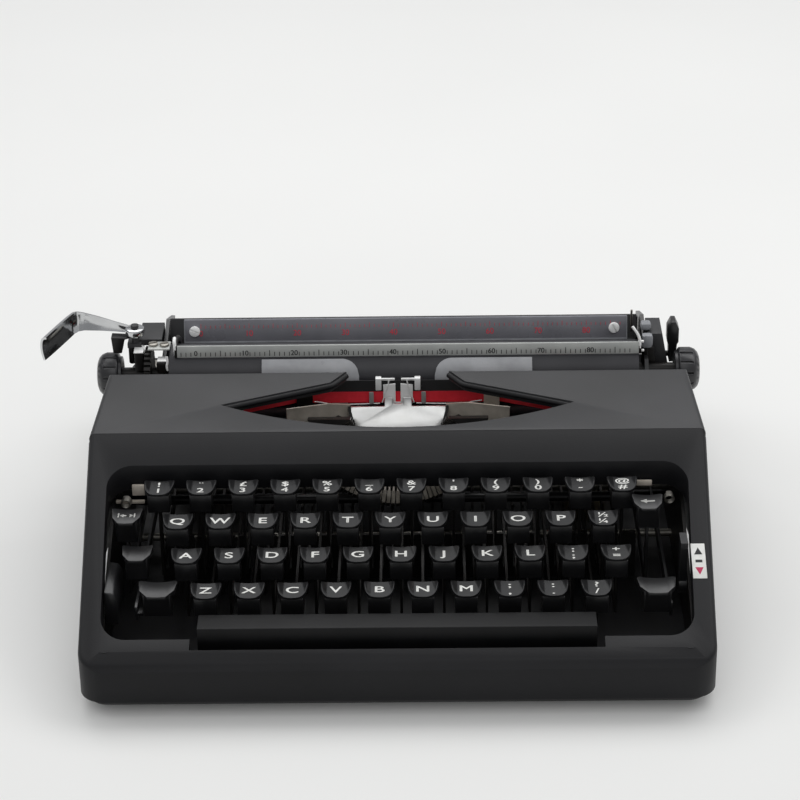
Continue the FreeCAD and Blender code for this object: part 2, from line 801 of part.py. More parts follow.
def make_comb():
    """Slotted plate that keeps the key levers side by side, standing on the pan."""
    body = doc.addObject("PartDesign::Body", "comb_plate")
    base = "foot_height + pan_wall"
    plate = outline(body, "comb_outline", "Y", [
        ("-comb_half", base), ("comb_half", base), ("comb_half", "comb_top"),
        ("-comb_half", "comb_top")], "-(comb_y + comb_wall)")
    pad = body.newObject("PartDesign::Pad", "comb_pad")
    pad.Profile = plate
    bind(pad, "Length", "comb_wall")
    slot = outline(body, "comb_slot_outline", "Y", [
        ("first_key_x - comb_slot / 2", "comb_slot_low"),
        ("first_key_x + comb_slot / 2", "comb_slot_low"),
        ("first_key_x + comb_slot / 2", "comb_top + 1"),
        ("first_key_x - comb_slot / 2", "comb_top + 1"),
    ], "-(comb_y + comb_wall)")
    pocket = body.newObject("PartDesign::Pocket", "comb_slot_cut")
    pocket.Profile = slot
    pocket.Type = "ThroughAll"
    pocket.Midplane = True
    row = body.newObject("PartDesign::LinearPattern", "comb_slots")
    row.Originals = [pocket]
    row.Direction = (slot, ["H_Axis"])
    # number bank first, then the last key of that bank eleven pitches on
    bind(row, "Length", "11 * key_pitch")
    row.Occurrences = 45
    body.Tip = row
    rooms = [box("comb_room_%d" % i, (x + " - bar_arm_room", x + " + bar_arm_room"),
                 ("comb_y - 1", "comb_y + comb_wall + 1"), ("comb_slot_low - 3", "comb_top + 1"))
             for i, x in enumerate(("bar_arm_left", "bar_arm_right"))]
    finish(subtract("key_comb", body, rooms), "key_comb")


# --- keys ------------------------------------------------------------------------------

def key_cap(name, half_scale="1"):
    """Dished D-shaped top with a squarer stem below; its top is at Z 0."""
    wide = [("-cap_back_half", "cap_back"), ("-cap_front_half", "cap_side"),
            ("-cap_nose_half", "cap_nose"), ("cap_nose_half", "cap_nose"),
            ("cap_front_half", "cap_side"), ("cap_back_half", "cap_back")]
    wide = [("(%s) * (%s)" % (across, half_scale), up) for across, up in wide]
    top = prism(name + "_top", "Z", wide, ("-cap_rim", "0"), "1.2")
    stem = prism(name + "_stem", "Z", [
        ("-stem_half * (%s)" % half_scale, "stem_front"), ("stem_half * (%s)" % half_scale, "stem_front"),
        ("stem_half * (%s)" % half_scale, "stem_back"), ("-stem_half * (%s)" % half_scale, "stem_back"),
    ], ("-cap_height", "-cap_rim / 2"), "1")
    dish = rod(name + "_dish", "Y", "cap_dish", ("-20", "20"), ("0", "cap_dish - cap_dish_depth"))
    return subtract(name, unite(name + "_solid", [top, stem]), [dish])


def key_lever(name, y, z, x="0", pivot=("pivot_y", "pivot_z"), low="lever_low", high="lever_high"):
    """Flat lever from its eye on a rod to the underside of its key's stem."""
    far, mid = pivot
    points = [(far, mid + " - eye_radius + 1"), (far, mid + " + eye_radius - 1"),
              (far + " - eye_radius", high), ("%s + riser_half" % y, high),
              ("%s + riser_half" % y, "%s - cap_height" % z),
              ("%s - riser_half" % y, "%s - cap_height" % z),
              ("%s - riser_half" % y, low), (far + " - eye_radius", low)]
    span = ("%s - lever_wall / 2" % x, "%s + lever_wall / 2" % x)
    bar = prism(name + "_bar", "X", points, span)
    eye = rod(name + "_eye", "X", "eye_radius", span, pivot)
    hole = rod(name + "_hole", "X", "pivot_radius + running_fit",
               ("%s - lever_wall" % x, "%s + lever_wall" % x), pivot)
    return subtract(name, unite(name + "_solid", [bar, eye]), [hole])


def bank_key(name, cap, y, z):
    return group(name, [key_lever(name + "_lever", y, z), copy(name + "_cap", cap, "0", y, z)])


def make_character_keys():
    cap = key_cap("cap_form")
    # each bank: name, steps down from the number bank, stagger in pitches, keys in the bank
    banks = (("number", 0, 0.0, 12), ("upper", 1, 0.5, 11), ("home", 2, 0.75, 11),
             ("lower", 3, 1.25, 10))
    home_letters = ("a", "s", "d", "f", "g", "h", "j", "k", "l", "semicolon", "equals")
    for bank, step, stagger, count in banks:
        y = "(number_y - %d * bank_step_y)" % step
        z = "(number_z - %d * bank_step_z)" % step
        model = bank_key(bank + "_key_form", cap, y, z)
        copies = [copy("%s_key_%d" % (bank, i), model, "first_key_x + %s * key_pitch" % (stagger + i))
                  for i in range(count)]
        if bank != "home":
            finish(group(bank + "_row_keys", copies), bank + "_row_keys")
            continue
        for letter, twin in zip(home_letters, copies):
            finish(group("key_" + letter, [twin]), "key_" + letter)


def make_space_bar():
    back = "bar_front_y + bar_depth"
    low = "bar_top_z - bar_height"
    top = prism("bar_body", "X", [
        ("bar_front_y", low), ("bar_front_y", "bar_top_z"), (back, "bar_top_z"), (back, low),
        (back + " - bar_wall", low), (back + " - bar_wall", "bar_top_z - bar_wall"),
        ("bar_front_y + bar_wall", "bar_top_z - bar_wall"), ("bar_front_y + bar_wall", low),
    ], ("-bar_half", "bar_half"), "0.8")
    solids = [top]
    for x in ("bar_arm_left", "bar_arm_right"):
        near = "bar_front_y + bar_depth / 2"
        points = [("bar_pivot_y", "bar_pivot_z - eye_radius + 1"),
                  ("bar_pivot_y", "bar_pivot_z + eye_radius - 1"),
                  ("bar_pivot_y - eye_radius", "bar_arm_high"), (near + " + riser_half", "bar_arm_high"),
                  (near + " + riser_half", "bar_top_z - bar_wall"),
                  (near + " - riser_half", "bar_top_z - bar_wall"),
                  (near + " - riser_half", "bar_arm_low"),
                  ("bar_pivot_y - eye_radius", "bar_pivot_z - 1")]
        name = "arm_on_" + x
        span = (x + " - lever_wall / 2", x + " + lever_wall / 2")
        arm = prism(name + "_bar", "X", points, span)
        eye = rod(name + "_eye", "X", "eye_radius", span, ("bar_pivot_y", "bar_pivot_z"))
        hole = rod(name + "_hole", "X", "bar_pivot_radius + running_fit",
                   (x + " - lever_wall", x + " + lever_wall"), ("bar_pivot_y", "bar_pivot_z"))
        solids.append(subtract(name, unite(name + "_solid", [arm, eye]), [hole]))
    finish(group("space_bar", solids), "space_bar")


def make_function_keys():
    big = key_cap("shift_cap_form", "shift_scale_half / cap_back_half")
    small = key_cap("function_cap_form")
    # both shift keys and the cross shaft turn as one
    shaft = rod("shift_shaft", "X", "pivot_radius", ("-(plate_x + plate_wall)", "plate_x + plate_wall"),
                ("shift_pivot_y", "shift_pivot_z"))
    pieces = [shaft]
    feet = {"left": ("shift_arm_left", "shift_left_x"), "right": ("shift_right_x", "shift_arm_right")}
    for name, cap_x, arm_x in (("left", "shift_left_x", "shift_arm_left"),
                               ("right", "shift_right_x", "shift_arm_right")):
        arm = prism("shift_arm_" + name, "X", [
            ("shift_pivot_y + 3", "shift_pivot_z - 3.5"), ("shift_pivot_y + 3", "shift_pivot_z + 3.5"),
            ("shift_y + 4", "shift_z - cap_height + 4"), ("shift_y - 4", "shift_z - cap_height + 4"),
            ("shift_y - 4", "shift_z - cap_height - 3"), ("shift_y + 20", "shift_z - cap_height - 4")],
            (arm_x + " - lever_wall / 2", arm_x + " + lever_wall / 2"), None,
            [("lock_pivot_y", "lock_pivot_z", "lock_pin + running_fit"),
             ("shift_pivot_y", "shift_pivot_z", "pivot_radius + running_fit")])
        foot = box("shift_foot_" + name, feet[name], ("shift_y - 3", "shift_y + 2"),
                   ("shift_z - cap_height - 1.2", "shift_z - cap_height"))
        arm = unite("shift_lever_" + name, [arm, foot])
        cap = copy("shift_cap_" + name, big, cap_x, "shift_y", "shift_z")
        # the arm ends beside the stem, so the stem is notched for it
        pieces += [arm, subtract("shift_stem_" + name, cap, [copy("shift_room_" + name, arm)])]
    finish(group("shift_keys", pieces), "shift_keys")

    # the lock hangs on a pin through the left shift arm
    lock_side = ("shift_arm_left - 3", "shift_arm_left - 3 + lever_wall")
    lock_arm = prism("lock_arm", "X", [
        ("lock_pivot_y + 3", "lock_pivot_z - 3"), ("lock_pivot_y + 3", "lock_pivot_z + 3"),
        ("lock_y + 5", "lock_z - cap_height"), ("lock_y - 4", "lock_z - cap_height"),
        ("lock_y - 4", "lock_z - cap_height - 3"), ("lock_pivot_y - 6", "lock_pivot_z - 3")], lock_side)
    lock_pin = rod("lock_arm_pin", "X", "lock_pin", (lock_side[0], "shift_arm_left + lever_wall / 2"),
                   ("lock_pivot_y", "lock_pivot_z"))
    lock_cap = copy("lock_cap", small, "lock_x", "lock_y", "lock_z")
    finish(group("shift_lock_key", [unite("lock_body", [lock_arm, lock_pin]), lock_cap]),
           "shift_lock_key")

    for name, x in (("backspace", "backspace_x"), ("release", "release_x")):
        arm = key_lever(name + "_lever", name + "_y", name + "_z", x)
        cap = copy(name + "_cap", small, x, name + "_y", name + "_z")
        label = "backspace_key" if name == "backspace" else "margin_release_key"
        finish(group(label, [arm, cap]), label)


def make_selector():
    """Lever for black, stencil or red, with its tip in a slot beside the keys."""
    blade = prism("selector_blade", "X", [
        ("selector_y - 3", "selector_z"), ("selector_y - 5", "selector_top - 3"),
        ("selector_y - 5", "selector_top"), ("selector_y + 5", "selector_top"),
        ("selector_y + 5", "selector_top - 3"), ("selector_y + 3", "selector_z")],
        ("selector_x", "selector_x + 3.4"))
    eye = rod("selector_eye", "X", "eye_radius", ("selector_x", "plate_x - air_gap"),
              ("selector_y", "selector_z"))
    pin = rod("selector_stud", "X", "selector_pin", ("selector_x", "plate_x + plate_wall"),
              ("selector_y", "selector_z"))
    finish(unite("ribbon_selector_lever", [blade, eye, pin]), "ribbon_selector_lever")


# --- type action -----------------------------------------------------------------------

PRINT_Y = "(platen_y - platen_radius - print_gap)"


def tilt_to_segment(item):
    """Stand a piece drawn flat about the printing point on the segment's slanting axis."""
    turn(item, X_AXIS, "segment_tilt")


def make_segment():
    body = doc.addObject("PartDesign::Body", "segment_ring")
    low = "segment_offset - segment_half"
    blank = outline(body, "segment_blank", "Z", [
        ("-segment_outer - 1", "-segment_outer - 1"), ("segment_outer + 1", "-segment_outer - 1"),
        ("segment_outer + 1", "-segment_chord"), ("-segment_outer - 1", "-segment_chord")], low)
    pad = body.newObject("PartDesign::Pad", "segment_pad")
    pad.Profile = blank
    bind(pad, "Length", "2 * segment_half")
    slot = outline(body, "segment_slot", "Z", [
        ("-slot_width / 2", "-typebar_ring - slot_depth"),
        ("slot_width / 2", "-typebar_ring - slot_depth"),
        ("slot_width / 2", "-segment_inner + 1"), ("-slot_width / 2", "-segment_inner + 1")], low)
    slot.AttachmentOffset = FreeCAD.Placement(FreeCAD.Vector(), FreeCAD.Rotation(Z_AXIS, -1))
    bind(slot, "AttachmentOffset.Base.z", low)
    bind(slot, "AttachmentOffset.Rotation.Angle", "-typebar_angle * (typebar_count / 2 - 1)")
    cut = body.newObject("PartDesign::Pocket", "segment_slot_cut")
    cut.Profile = slot
    cut.Type = "ThroughAll"
    cut.Midplane = True
    fan = body.newObject("PartDesign::PolarPattern", "segment_slots")
    fan.Originals = [cut]
    fan.Axis = (blank, ["N_Axis"])
    bind(fan, "Angle", "typebar_angle * (typebar_count - 1)")
    bind(fan, "Occurrences", "typebar_count")
    body.Tip = fan

    outer = rod("segment_rim", "Z", "segment_outer", (low, "segment_offset + segment_half"), ("0", "0"))
    inner = rod("segment_bore", "Z", "segment_inner", (low + " - 1", "segment_offset + segment_half + 1"),
                ("0", "0"))
    comb = subtract("segment_arc", overlap("segment_sector", [body, outer]), [inner])
    # bent wire that all typebars turn on
    wire = doc.addObject("Part::Torus", "typebar_wire")
    bind(wire, "Radius1", "typebar_ring")
    bind(wire, "Radius2", "typebar_pin")
    bind(wire, "Angle3", "typebar_angle * (typebar_count + 2)")
    turn(wire, Z_AXIS, "-90 - typebar_angle * (typebar_count / 2 + 1)")
    place(wire, "0", "0", "segment_offset")
    ring = unite("segment_comb", [comb, wire])
    tilt_to_segment(ring)
    place(ring, "0", PRINT_Y, "platen_z")
    arms = [box("segment_arm_%d" % i, span, ("cross_mid_y - 16", "cross_mid_y"), ("cross_mid_z", "cross_mid_z + 1.8"))
            for i, span in enumerate((("-37", "-28"), ("28", "37")))]
    finish(unite("type_segment", [ring] + arms), "type_segment")


def typebar_form():
    """One typebar in its rest place below the printing point, before the fan turns it."""
    bar = box("typebar_blade", ("-typebar_wall / 2", "typebar_wall / 2"),
              ("-typebar_height / 2", "typebar_height / 2"),
              ("-typebar_tail", "typebar_length - 2.5"))
    hole = rod("typebar_hole", "X", "typebar_pin + running_fit", ("-2", "2"), ("0", "0"))
    slug = doc.addObject("Part::Box", "type_slug")
    bind(slug, "Length", "slug_width")
    bind(slug, "Width", "slug_depth")
    bind(slug, "Height", "slug_height")
    turn(slug, X_AXIS, "slug_tilt")
    place(slug, "-slug_width / 2",
          "-slug_depth * cos(slug_tilt) + slug_height / 2 * sin(slug_tilt)",
          "typebar_length - slug_depth * sin(slug_tilt) - slug_height / 2 * cos(slug_tilt)")
    upright = unite("typebar_upright", [subtract("typebar_bored", bar, [hole]), slug])
    turn(upright, X_AXIS, "typebar_splay")
    place(upright, "0", "-typebar_ring", "segment_offset")
    return group("typebar_form", [upright])


def make_typebars():
    form = typebar_form()
    count = int(sheet.get("typebar_count"))
    fan = []
    for i in range(1 - count // 2, count // 2 + 1):
        if i == 0:
            continue
        twin = copy("typebar_copy_%d" % (i + count), form)
        turn(twin, Z_AXIS, "%d * typebar_angle" % i)
        fan.append(twin)
    rest = group("typebars", fan)
    tilt_to_segment(rest)
    finish(rest, "typebars", "0", PRINT_Y, "platen_z")
    single = group("typebar_h", [copy("typebar_copy_h", form)])
    tilt_to_segment(single)
    finish(single, "typebar_h", "0", PRINT_Y, "platen_z")


def make_ribbon_path():
    top = "ribbon_low + ribbon_width"
    seat = "plate_low_z"
    # bright plate below the printing point, with the notch that the type enters
    plate = prism("type_guide", "Y", [
        ("-17", seat), ("17", seat), ("24.5", "ribbon_low - 0.6"), ("7", "ribbon_low - 0.6"),
        ("7", "ribbon_low + 4.6"), ("2.6", "ribbon_low + 4.6"), ("2.6", "ribbon_low + 1"),
        ("-2.6", "ribbon_low + 1"), ("-2.6", "ribbon_low + 4.6"), ("-7", "ribbon_low + 4.6"),
        ("-7", "ribbon_low - 0.6"), ("-24.5", "ribbon_low - 0.6")],
        ("ribbon_y - 5", "ribbon_y - 3.8"))
    finish(plate, "type_guide")

    # the vibrator holds the ribbon between a front frame and two back fingers, and its
    # middle slot reaches low enough for the type to pass when it is lifted
    front = "ribbon_y - air_gap - vibrator_wall"
    frame = prism("vibrator_frame", "Y", [
        ("-vibrator_half", "platen_z - 1"), ("-vibrator_half", top + " + 1.8"),
        ("-vibrator_slot", top + " + 1.8"), ("-vibrator_slot", "vibrator_floor + 1.5"),
        ("-vibrator_slot + 1.5", "vibrator_floor"), ("vibrator_slot - 1.5", "vibrator_floor"),
        ("vibrator_slot", "vibrator_floor + 1.5"), ("vibrator_slot", top + " + 1.8"),
        ("vibrator_half", top + " + 1.8"), ("vibrator_half", "platen_z - 1"),
        ("vibrator_neck", "platen_z - 4"), ("vibrator_neck", seat + " + air_gap"),
        ("-vibrator_neck", seat + " + air_gap"), ("-vibrator_neck", "platen_z - 4")],
        (front, "ribbon_y - air_gap"))
    hooks = [box("vibrator_hook_%d" % i, span, (front, "ribbon_y + 2 * air_gap + vibrator_wall"),
                 (top + " + 0.6", top + " + 1.8"))
             for i, span in enumerate((("-vibrator_half", "-vibrator_half + 3"),
                                       ("vibrator_half - 3", "vibrator_half")))]
    fingers = [box("vibrator_finger_%d" % i, span,
                   ("ribbon_y + 2 * air_gap", "ribbon_y + 2 * air_gap + vibrator_wall"),
                   ("ribbon_low + 3", top + " + 1.8"))
               for i, span in enumerate((("-vibrator_half", "-vibrator_half + 3"),
                                         ("vibrator_half - 3", "vibrator_half")))]
    finish(unite("ribbon_vibrator", [frame] + hooks + fingers), "ribbon_vibrator")

    make_ribbon(top)
    brackets = []
    for sign in ("-", ""):
        name = "left" if sign else "right"
        edges = ("plate_x - 62", "plate_x + plate_wall")
        span = edges if sign == "" else ("-(%s)" % edges[1], "-(%s)" % edges[0])
        shelf = box("spool_shelf_" + name, span, ("spool_y - 26", "spool_y + 22"),
                    ("plate_top_z", "plate_top_z + 1.5"))
        pin = rod("spool_pin_" + name, "Z", "spool_pin", ("plate_top_z", "ribbon_low + ribbon_width + 2.5"),
                  (sign + "spool_x", "spool_y"))
        brackets.append(unite("spool_plate_" + name, [shelf, pin]))
        near = "guide_x - guide_half"
        far = "guide_x + guide_half"
        wide = (near, far) if sign == "" else ("-(%s)" % far, "-(%s)" % near)
        face = box("guide_face_" + name, wide, ("ribbon_y - 1.6", "ribbon_y - 0.6"), (seat, top + " + 1.5"))
        foot = box("guide_foot_" + name, wide, ("cross_mid_y + 2", "ribbon_y - 0.6"), (seat, seat + " + 1.2"))
        brackets.append(unite("ribbon_guide_" + name, [face, foot]))
    finish(group("ribbon_brackets", brackets), "ribbon_brackets")


def make_ribbon(top):
    """Straight run past the platen, slanting back on each side to the wound spools."""
    half = "ribbon_wall / 2"
    front = [("-wrap_x", "wrap_y - " + half), ("-ribbon_bend_x", "ribbon_y - " + half),
             ("ribbon_bend_x", "ribbon_y - " + half), ("wrap_x", "wrap_y - " + half)]
    back = [(across, up.replace("- ribbon_wall", "+ ribbon_wall")) for across, up in reversed(front)]
    band = prism("ribbon_band", "Z", front + back, ("ribbon_low", top))
    packs = []
    for sign in ("-", ""):
        name = "pack_left" if sign else "pack_right"
        wound = rod(name, "Z", "spool_pack", ("ribbon_low", top), (sign + "spool_x", "spool_y"))
        core = rod(name + "_core", "Z", "spool_hub + air_gap", ("ribbon_low - 1", top + " + 1"),
                   (sign + "spool_x", "spool_y"))
        packs.append(subtract(name + "_ring", wound, [core]))
    finish(unite("ribbon", [band] + packs), "ribbon")
    for sign in ("-", ""):
        name = "ribbon_spool_left" if sign else "ribbon_spool_right"
        at = (sign + "spool_x", "spool_y")
        low = "ribbon_low - air_gap"
        high = top + " + air_gap"
        hub = rod(name + "_hub", "Z", "spool_hub", (low + " - spool_wall", high + " + spool_wall"), at)
        flanges = [rod(name + "_flange_low", "Z", "spool_flange", (low + " - spool_wall", low), at),
                   rod(name + "_flange_high", "Z", "spool_flange", (high, high + " + spool_wall"), at)]
        bore = rod(name + "_bore", "Z", "spool_pin + running_fit", (low + " - 5", high + " + 5"), at)
        finish(subtract(name, unite(name + "_solid", [hub] + flanges), [bore]), name)


def make_card_holders():
    """Clear plates that keep the paper against the platen on both sides of the type."""
    pieces = []
    for name, low, high in (("left", "-70", "-20"), ("right", "19", "69")):
        ring = rod("holder_ring_" + name, "X", "platen_radius + 1.6", (low, high), ("platen_y", "platen_z"))
        bore = rod("holder_bore_" + name, "X", "platen_radius + 0.7", (low + " - 1", high + " + 1"),
                   ("platen_y", "platen_z"))
        keep = box("holder_keep_" + name, (low + " - 1", high + " + 1"),
                   ("platen_y - platen_radius - 3", "platen_y - 13.4"),
                   ("platen_z", "platen_z + platen_radius"))
        leaf = overlap("holder_arc_" + name, [subtract("holder_tube_" + name, ring, [bore]), keep])
        stem = box("holder_stem_" + name, (low, high),
                   ("platen_y - platen_radius - 1.6", "platen_y - platen_radius - 0.7"),
                   ("ribbon_low + 2", "platen_z"))
        foot_low, foot_high = (high + " - 14", high + " - 6") if name == "left" else (low + " + 6", low + " + 14")
        leg = box("holder_leg_" + name, (foot_low, foot_high),
                  ("platen_y - platen_radius - 1.6", "platen_y - platen_radius - 0.7"),
                  ("plate_low_z", "ribbon_low + 3"))
        toe = box("holder_toe_" + name, (foot_low, foot_high),
                  ("ribbon_y - 3", "platen_y - platen_radius - 0.7"), ("plate_low_z", "plate_low_z + 1.2"))
        pieces.append(unite("card_holder_" + name, [leaf, stem, leg, toe]))
    finish(group("card_holders", pieces), "card_holders")


# --- carriage --------------------------------------------------------------------------

FEED_FRONT = "(platen_y - feed_spread)"
FEED_REAR = "(platen_y + feed_spread)"
FEED_Z = "(platen_z - feed_drop)"


def end_plate(name, x):
    """Upright at one end of the carriage, with bores for platen, feed rolls and bail."""
    holes = [("platen_y", "platen_z", "platen_shaft_radius + running_fit"),
             (FEED_FRONT, FEED_Z, "feed_shaft + running_fit"),
             (FEED_REAR, FEED_Z, "feed_shaft + running_fit"),
             ("bail_pivot_y", "bail_pivot_z", "bail_pin + running_fit")]
    points = [("platen_y - 13.5", "carriage_base - 2.6"), ("platen_y + 13.5", "carriage_base - 2.6"),
              ("platen_y + 15.5", "carriage_base"), ("carriage_back", "carriage_base"),
              ("carriage_back", "margin_z + margin_height + 4"), ("bail_pivot_y + 12", "bail_pivot_z + 9"),
              ("bail_pivot_y - 4", "bail_pivot_z + 5"), ("platen_y - 4", "platen_z + 8"),
              ("platen_y - 9", "platen_z + 3")]
    return prism(name, "X", points, (x, x + " + carriage_wall"), None, holes)


def make_carriage():
    inner = ("carriage_left + carriage_wall", "carriage_right")
    floor = box("carriage_floor", inner, ("rack_y", "carriage_back"), ("carriage_base", "carriage_base + 2"))
    wall = box("carriage_wall_back", inner, ("carriage_back - 1.6", "carriage_back"),
               ("carriage_base", "margin_z - 4"))
    rack = box("carriage_rack", ("-121", "121"), ("rack_y", "rack_y + rack_depth"),
               ("rail_top - 2.6", "carriage_base"))
    hooks = [box("carriage_hook_%d" % i, ("-18", "18"), span, ("rail_z + 3.4", "carriage_base"))
             for i, span in enumerate((("rail_y + rail_depth + air_gap", "carriage_back"),))]
    grip = box("carriage_grip", ("-18", "18"), ("rail_y + rail_depth - 0.8", "carriage_back"),
               ("rail_z + 3.4", "rail_z + 4.6"))
    frame = unite("carriage_frame", [end_plate("end_plate_left", "carriage_left"),
                                     end_plate("end_plate_right", "carriage_right"),
                                     floor, wall, rack, grip] + hooks)
    finish(frame, "carriage_frame")

    roller = rod("platen_roller", "X", "platen_radius", ("platen_left", "platen_right"),
                 ("platen_y", "platen_z"))
    bore = rod("platen_bore", "X", "platen_shaft_radius + running_fit",
               ("platen_left - 1", "platen_right + 1"), ("platen_y", "platen_z"))
    finish(subtract("platen", roller, [bore]), "platen")
    reach = "(knob_outer - 4)"
    finish(rod("platen_shaft", "X", "platen_shaft_radius", ("-" + reach, reach), ("platen_y", "platen_z")),
           "platen_shaft", "-" + reach, "platen_y", "platen_z")

    inner_x = "knob_outer - knob_width"
    bore_radius = "platen_shaft_radius + running_fit"
    body_x = inner_x + " + knob_neck"
    knob = turned("knob_form", [
        (inner_x, bore_radius), (inner_x, "knob_radius - 2"), (body_x, "knob_radius - 2"),
        (body_x, "knob_radius - 0.8"), (body_x + " + 0.8", "knob_radius"),
        ("knob_outer - 4.6", "knob_radius"), ("knob_outer - 2.2", "knob_radius - 0.9"),
        ("knob_outer - 0.8", "knob_radius - 2.4"), ("knob_outer", "knob_radius - 4.4"),
        ("knob_outer", "0"), ("knob_outer - 3.7", "0"), ("knob_outer - 3.7", bore_radius)])
    finish(group("platen_knobs", [knob, mirror("knob_mirror", knob)]), "platen_knobs",
           "0", "platen_y", "platen_z")


def make_ratchet():
    body = doc.addObject("PartDesign::Body", "ratchet_form")
    disc = outline(body, "ratchet_disc", "X", [
        ("-ratchet_radius", "-ratchet_radius"), ("ratchet_radius", "-ratchet_radius"),
        ("ratchet_radius", "ratchet_radius"), ("-ratchet_radius", "ratchet_radius")], "ratchet_x")
    pad = body.newObject("PartDesign::Pad", "ratchet_pad")
    pad.Profile = disc
    bind(pad, "Length", "ratchet_wall")
    tooth = outline(body, "ratchet_tooth", "X", [
        ("-0.9", "ratchet_radius + 1"), ("-0.2", "ratchet_radius - 1.8"), ("0.3", "ratchet_radius - 1.8"),
        ("1.4", "ratchet_radius + 1")], "ratchet_x")
    cut = body.newObject("PartDesign::Pocket", "ratchet_cut")
    cut.Profile = tooth
    cut.Type = "ThroughAll"
    cut.Midplane = True
    ring = body.newObject("PartDesign::PolarPattern", "ratchet_ring")
    ring.Originals = [cut]
    ring.Axis = (disc, ["N_Axis"])
    ring.Angle = 360
    bind(ring, "Occurrences", "ratchet_teeth")
    body.Tip = ring
    rim = rod("ratchet_rim", "X", "ratchet_radius", ("ratchet_x", "ratchet_x + ratchet_wall"), ("0", "0"))
    bore = rod("ratchet_bore", "X", "platen_shaft_radius + running_fit", ("ratchet_x - 1", "0"), ("0", "0"))
    wheel = subtract("ratchet_round", overlap("ratchet_blank", [body, rim]), [bore])
    finish(wheel, "ratchet_wheel", "0", "platen_y", "platen_z")


def make_feed_rollers():
    for name, y in (("feed_rollers_front", FEED_FRONT), ("feed_rollers_rear", FEED_REAR)):
        shaft = rod(name + "_shaft", "X", "feed_shaft", ("carriage_left", "carriage_right + carriage_wall"),
                    ("0", "0"))
        rolls = [rod("%s_roll_%d" % (name, i), "X", "feed_radius - air_gap", span, ("0", "0"))
                 for i, span in enumerate((("-90", "-50"), ("-20", "20"), ("50", "90")))]
        finish(unite(name, [shaft] + rolls), name, "0", y, FEED_Z)


def make_return_lever():
    """Upright strip, bent forwards at its far end, that turns about a stud on the carriage."""
    half = "return_wall / 2"
    plan = prism("return_plan", "Z", [
        ("return_x + 2", "return_y - 1.6"), ("return_x + 2", "return_y"),
        ("-167.0", "224.2"), ("-169.6", "223.4"), ("-180.9", "194.2"), ("-179.5", "193.6"),
        ("-168.0", "221.8")], ("return_low", "return_top"))
    side = prism("return_side", "Y", [
        ("return_x + 4", "return_low + 5"), ("return_x + 4", "return_low + 9"),
        ("return_x - 4", "return_low + 9.4"), ("-167", "return_top - 0.4"), ("-170", "return_top"),
        ("-186", "return_top"), ("-186", "return_low"), ("-172", "return_low"),
        ("-163", "return_low + 2"), ("return_x - 6", "return_low + 5")],
        ("180", "240"))
    hub = rod("return_hub", "Z", "return_hub", ("return_low + 5", "return_low + 9"), ("return_x", "return_y"))
    bore = rod("return_bore", "Z", "2 + running_fit", ("return_low", "return_top"), ("return_x", "return_y"))
    strip = overlap("return_strip", [plan, side])
    finish(subtract("return_lever", unite("return_solid", [strip, hub]), [bore]), "return_lever")


def make_paper_guides():
    bar = prism("bail_bar", "X", [
        ("bail_y", "bail_low"), ("bail_y + bail_wall", "bail_low"),
        ("bail_y + bail_wall + 1.4", "bail_high"), ("bail_y + 1.4", "bail_high")],
        ("bail_left", "bail_right"))
    arms = []
    for name, span in (("left", ("bail_left - 1.4", "bail_left")),
                       ("right", ("bail_right", "bail_right + 1.4"))):
        arm = prism("bail_arm_" + name, "X", [
            ("bail_y", "bail_low"), ("bail_y + 1.4", "bail_high"), ("platen_y", "bail_high + 2.3"),
            ("platen_y + 10", "bail_high"), ("bail_pivot_y + 2", "bail_pivot_z + 3"),
            ("bail_pivot_y + 3", "bail_pivot_z - 2"), ("bail_pivot_y - 2", "bail_pivot_z - 3"),
            ("bail_pivot_y - 3", "bail_pivot_z + 1"), ("platen_y + 11", "platen_z + 14"),
            ("platen_y + 5", "platen_z + 16.8"), ("platen_y", "platen_z + 17.5"),
            ("platen_y - 4.5", "platen_z + 16.5"), ("bail_y + bail_wall", "bail_low")], span)
        arms.append(arm)
    pins = [rod("bail_pin_left", "X", "bail_pin", ("carriage_left", "bail_left"),
                ("bail_pivot_y", "bail_pivot_z")),
            rod("bail_pin_right", "X", "bail_pin", ("bail_right", "carriage_right + carriage_wall"),
                ("bail_pivot_y", "bail_pivot_z"))]
    finish(unite("paper_bail", [bar] + arms + pins), "paper_bail")

    wall = "1"
    front = [("platen_y + 16.5", "carriage_base + 2"), ("platen_y + 18.6", "platen_z - 4"),
             ("window_y + 1.2", "window_low"), ("window_y + window_lean + 1.7", "window_high")]
    back = [("%s + %s" % (across, wall), up) for across, up in reversed(front)]
    sheet_metal = prism("paper_table", "X", front + back, ("table_left", "table_right"))
    finish(sheet_metal, "paper_table")
    window = prism("scale_window", "X", [
        ("window_y + 1.2 - window_wall", "window_low"), ("window_y + 1.2", "window_low"),
        ("window_y + window_lean + 1.7", "window_high"),
        ("window_y + window_lean + 1.7 - window_wall", "window_high")], ("window_left", "window_right"))
    finish(window, "scale_window")
    screws = [rod("scale_screw_%d" % i, "Y", "2.85",
                  ("window_y - 0.5", "window_y + 1.6"), (x, "(window_low + window_high) / 2"))
              for i, x in enumerate(("window_left + 5.6", "window_right - 7"))]
    trimmed = [subtract("scale_screw_head_%d" % i, screw, [copy("window_copy_%d" % i, window)])
               for i, screw in enumerate(screws)]
    finish(group("scale_screws", trimmed), "scale_screws")


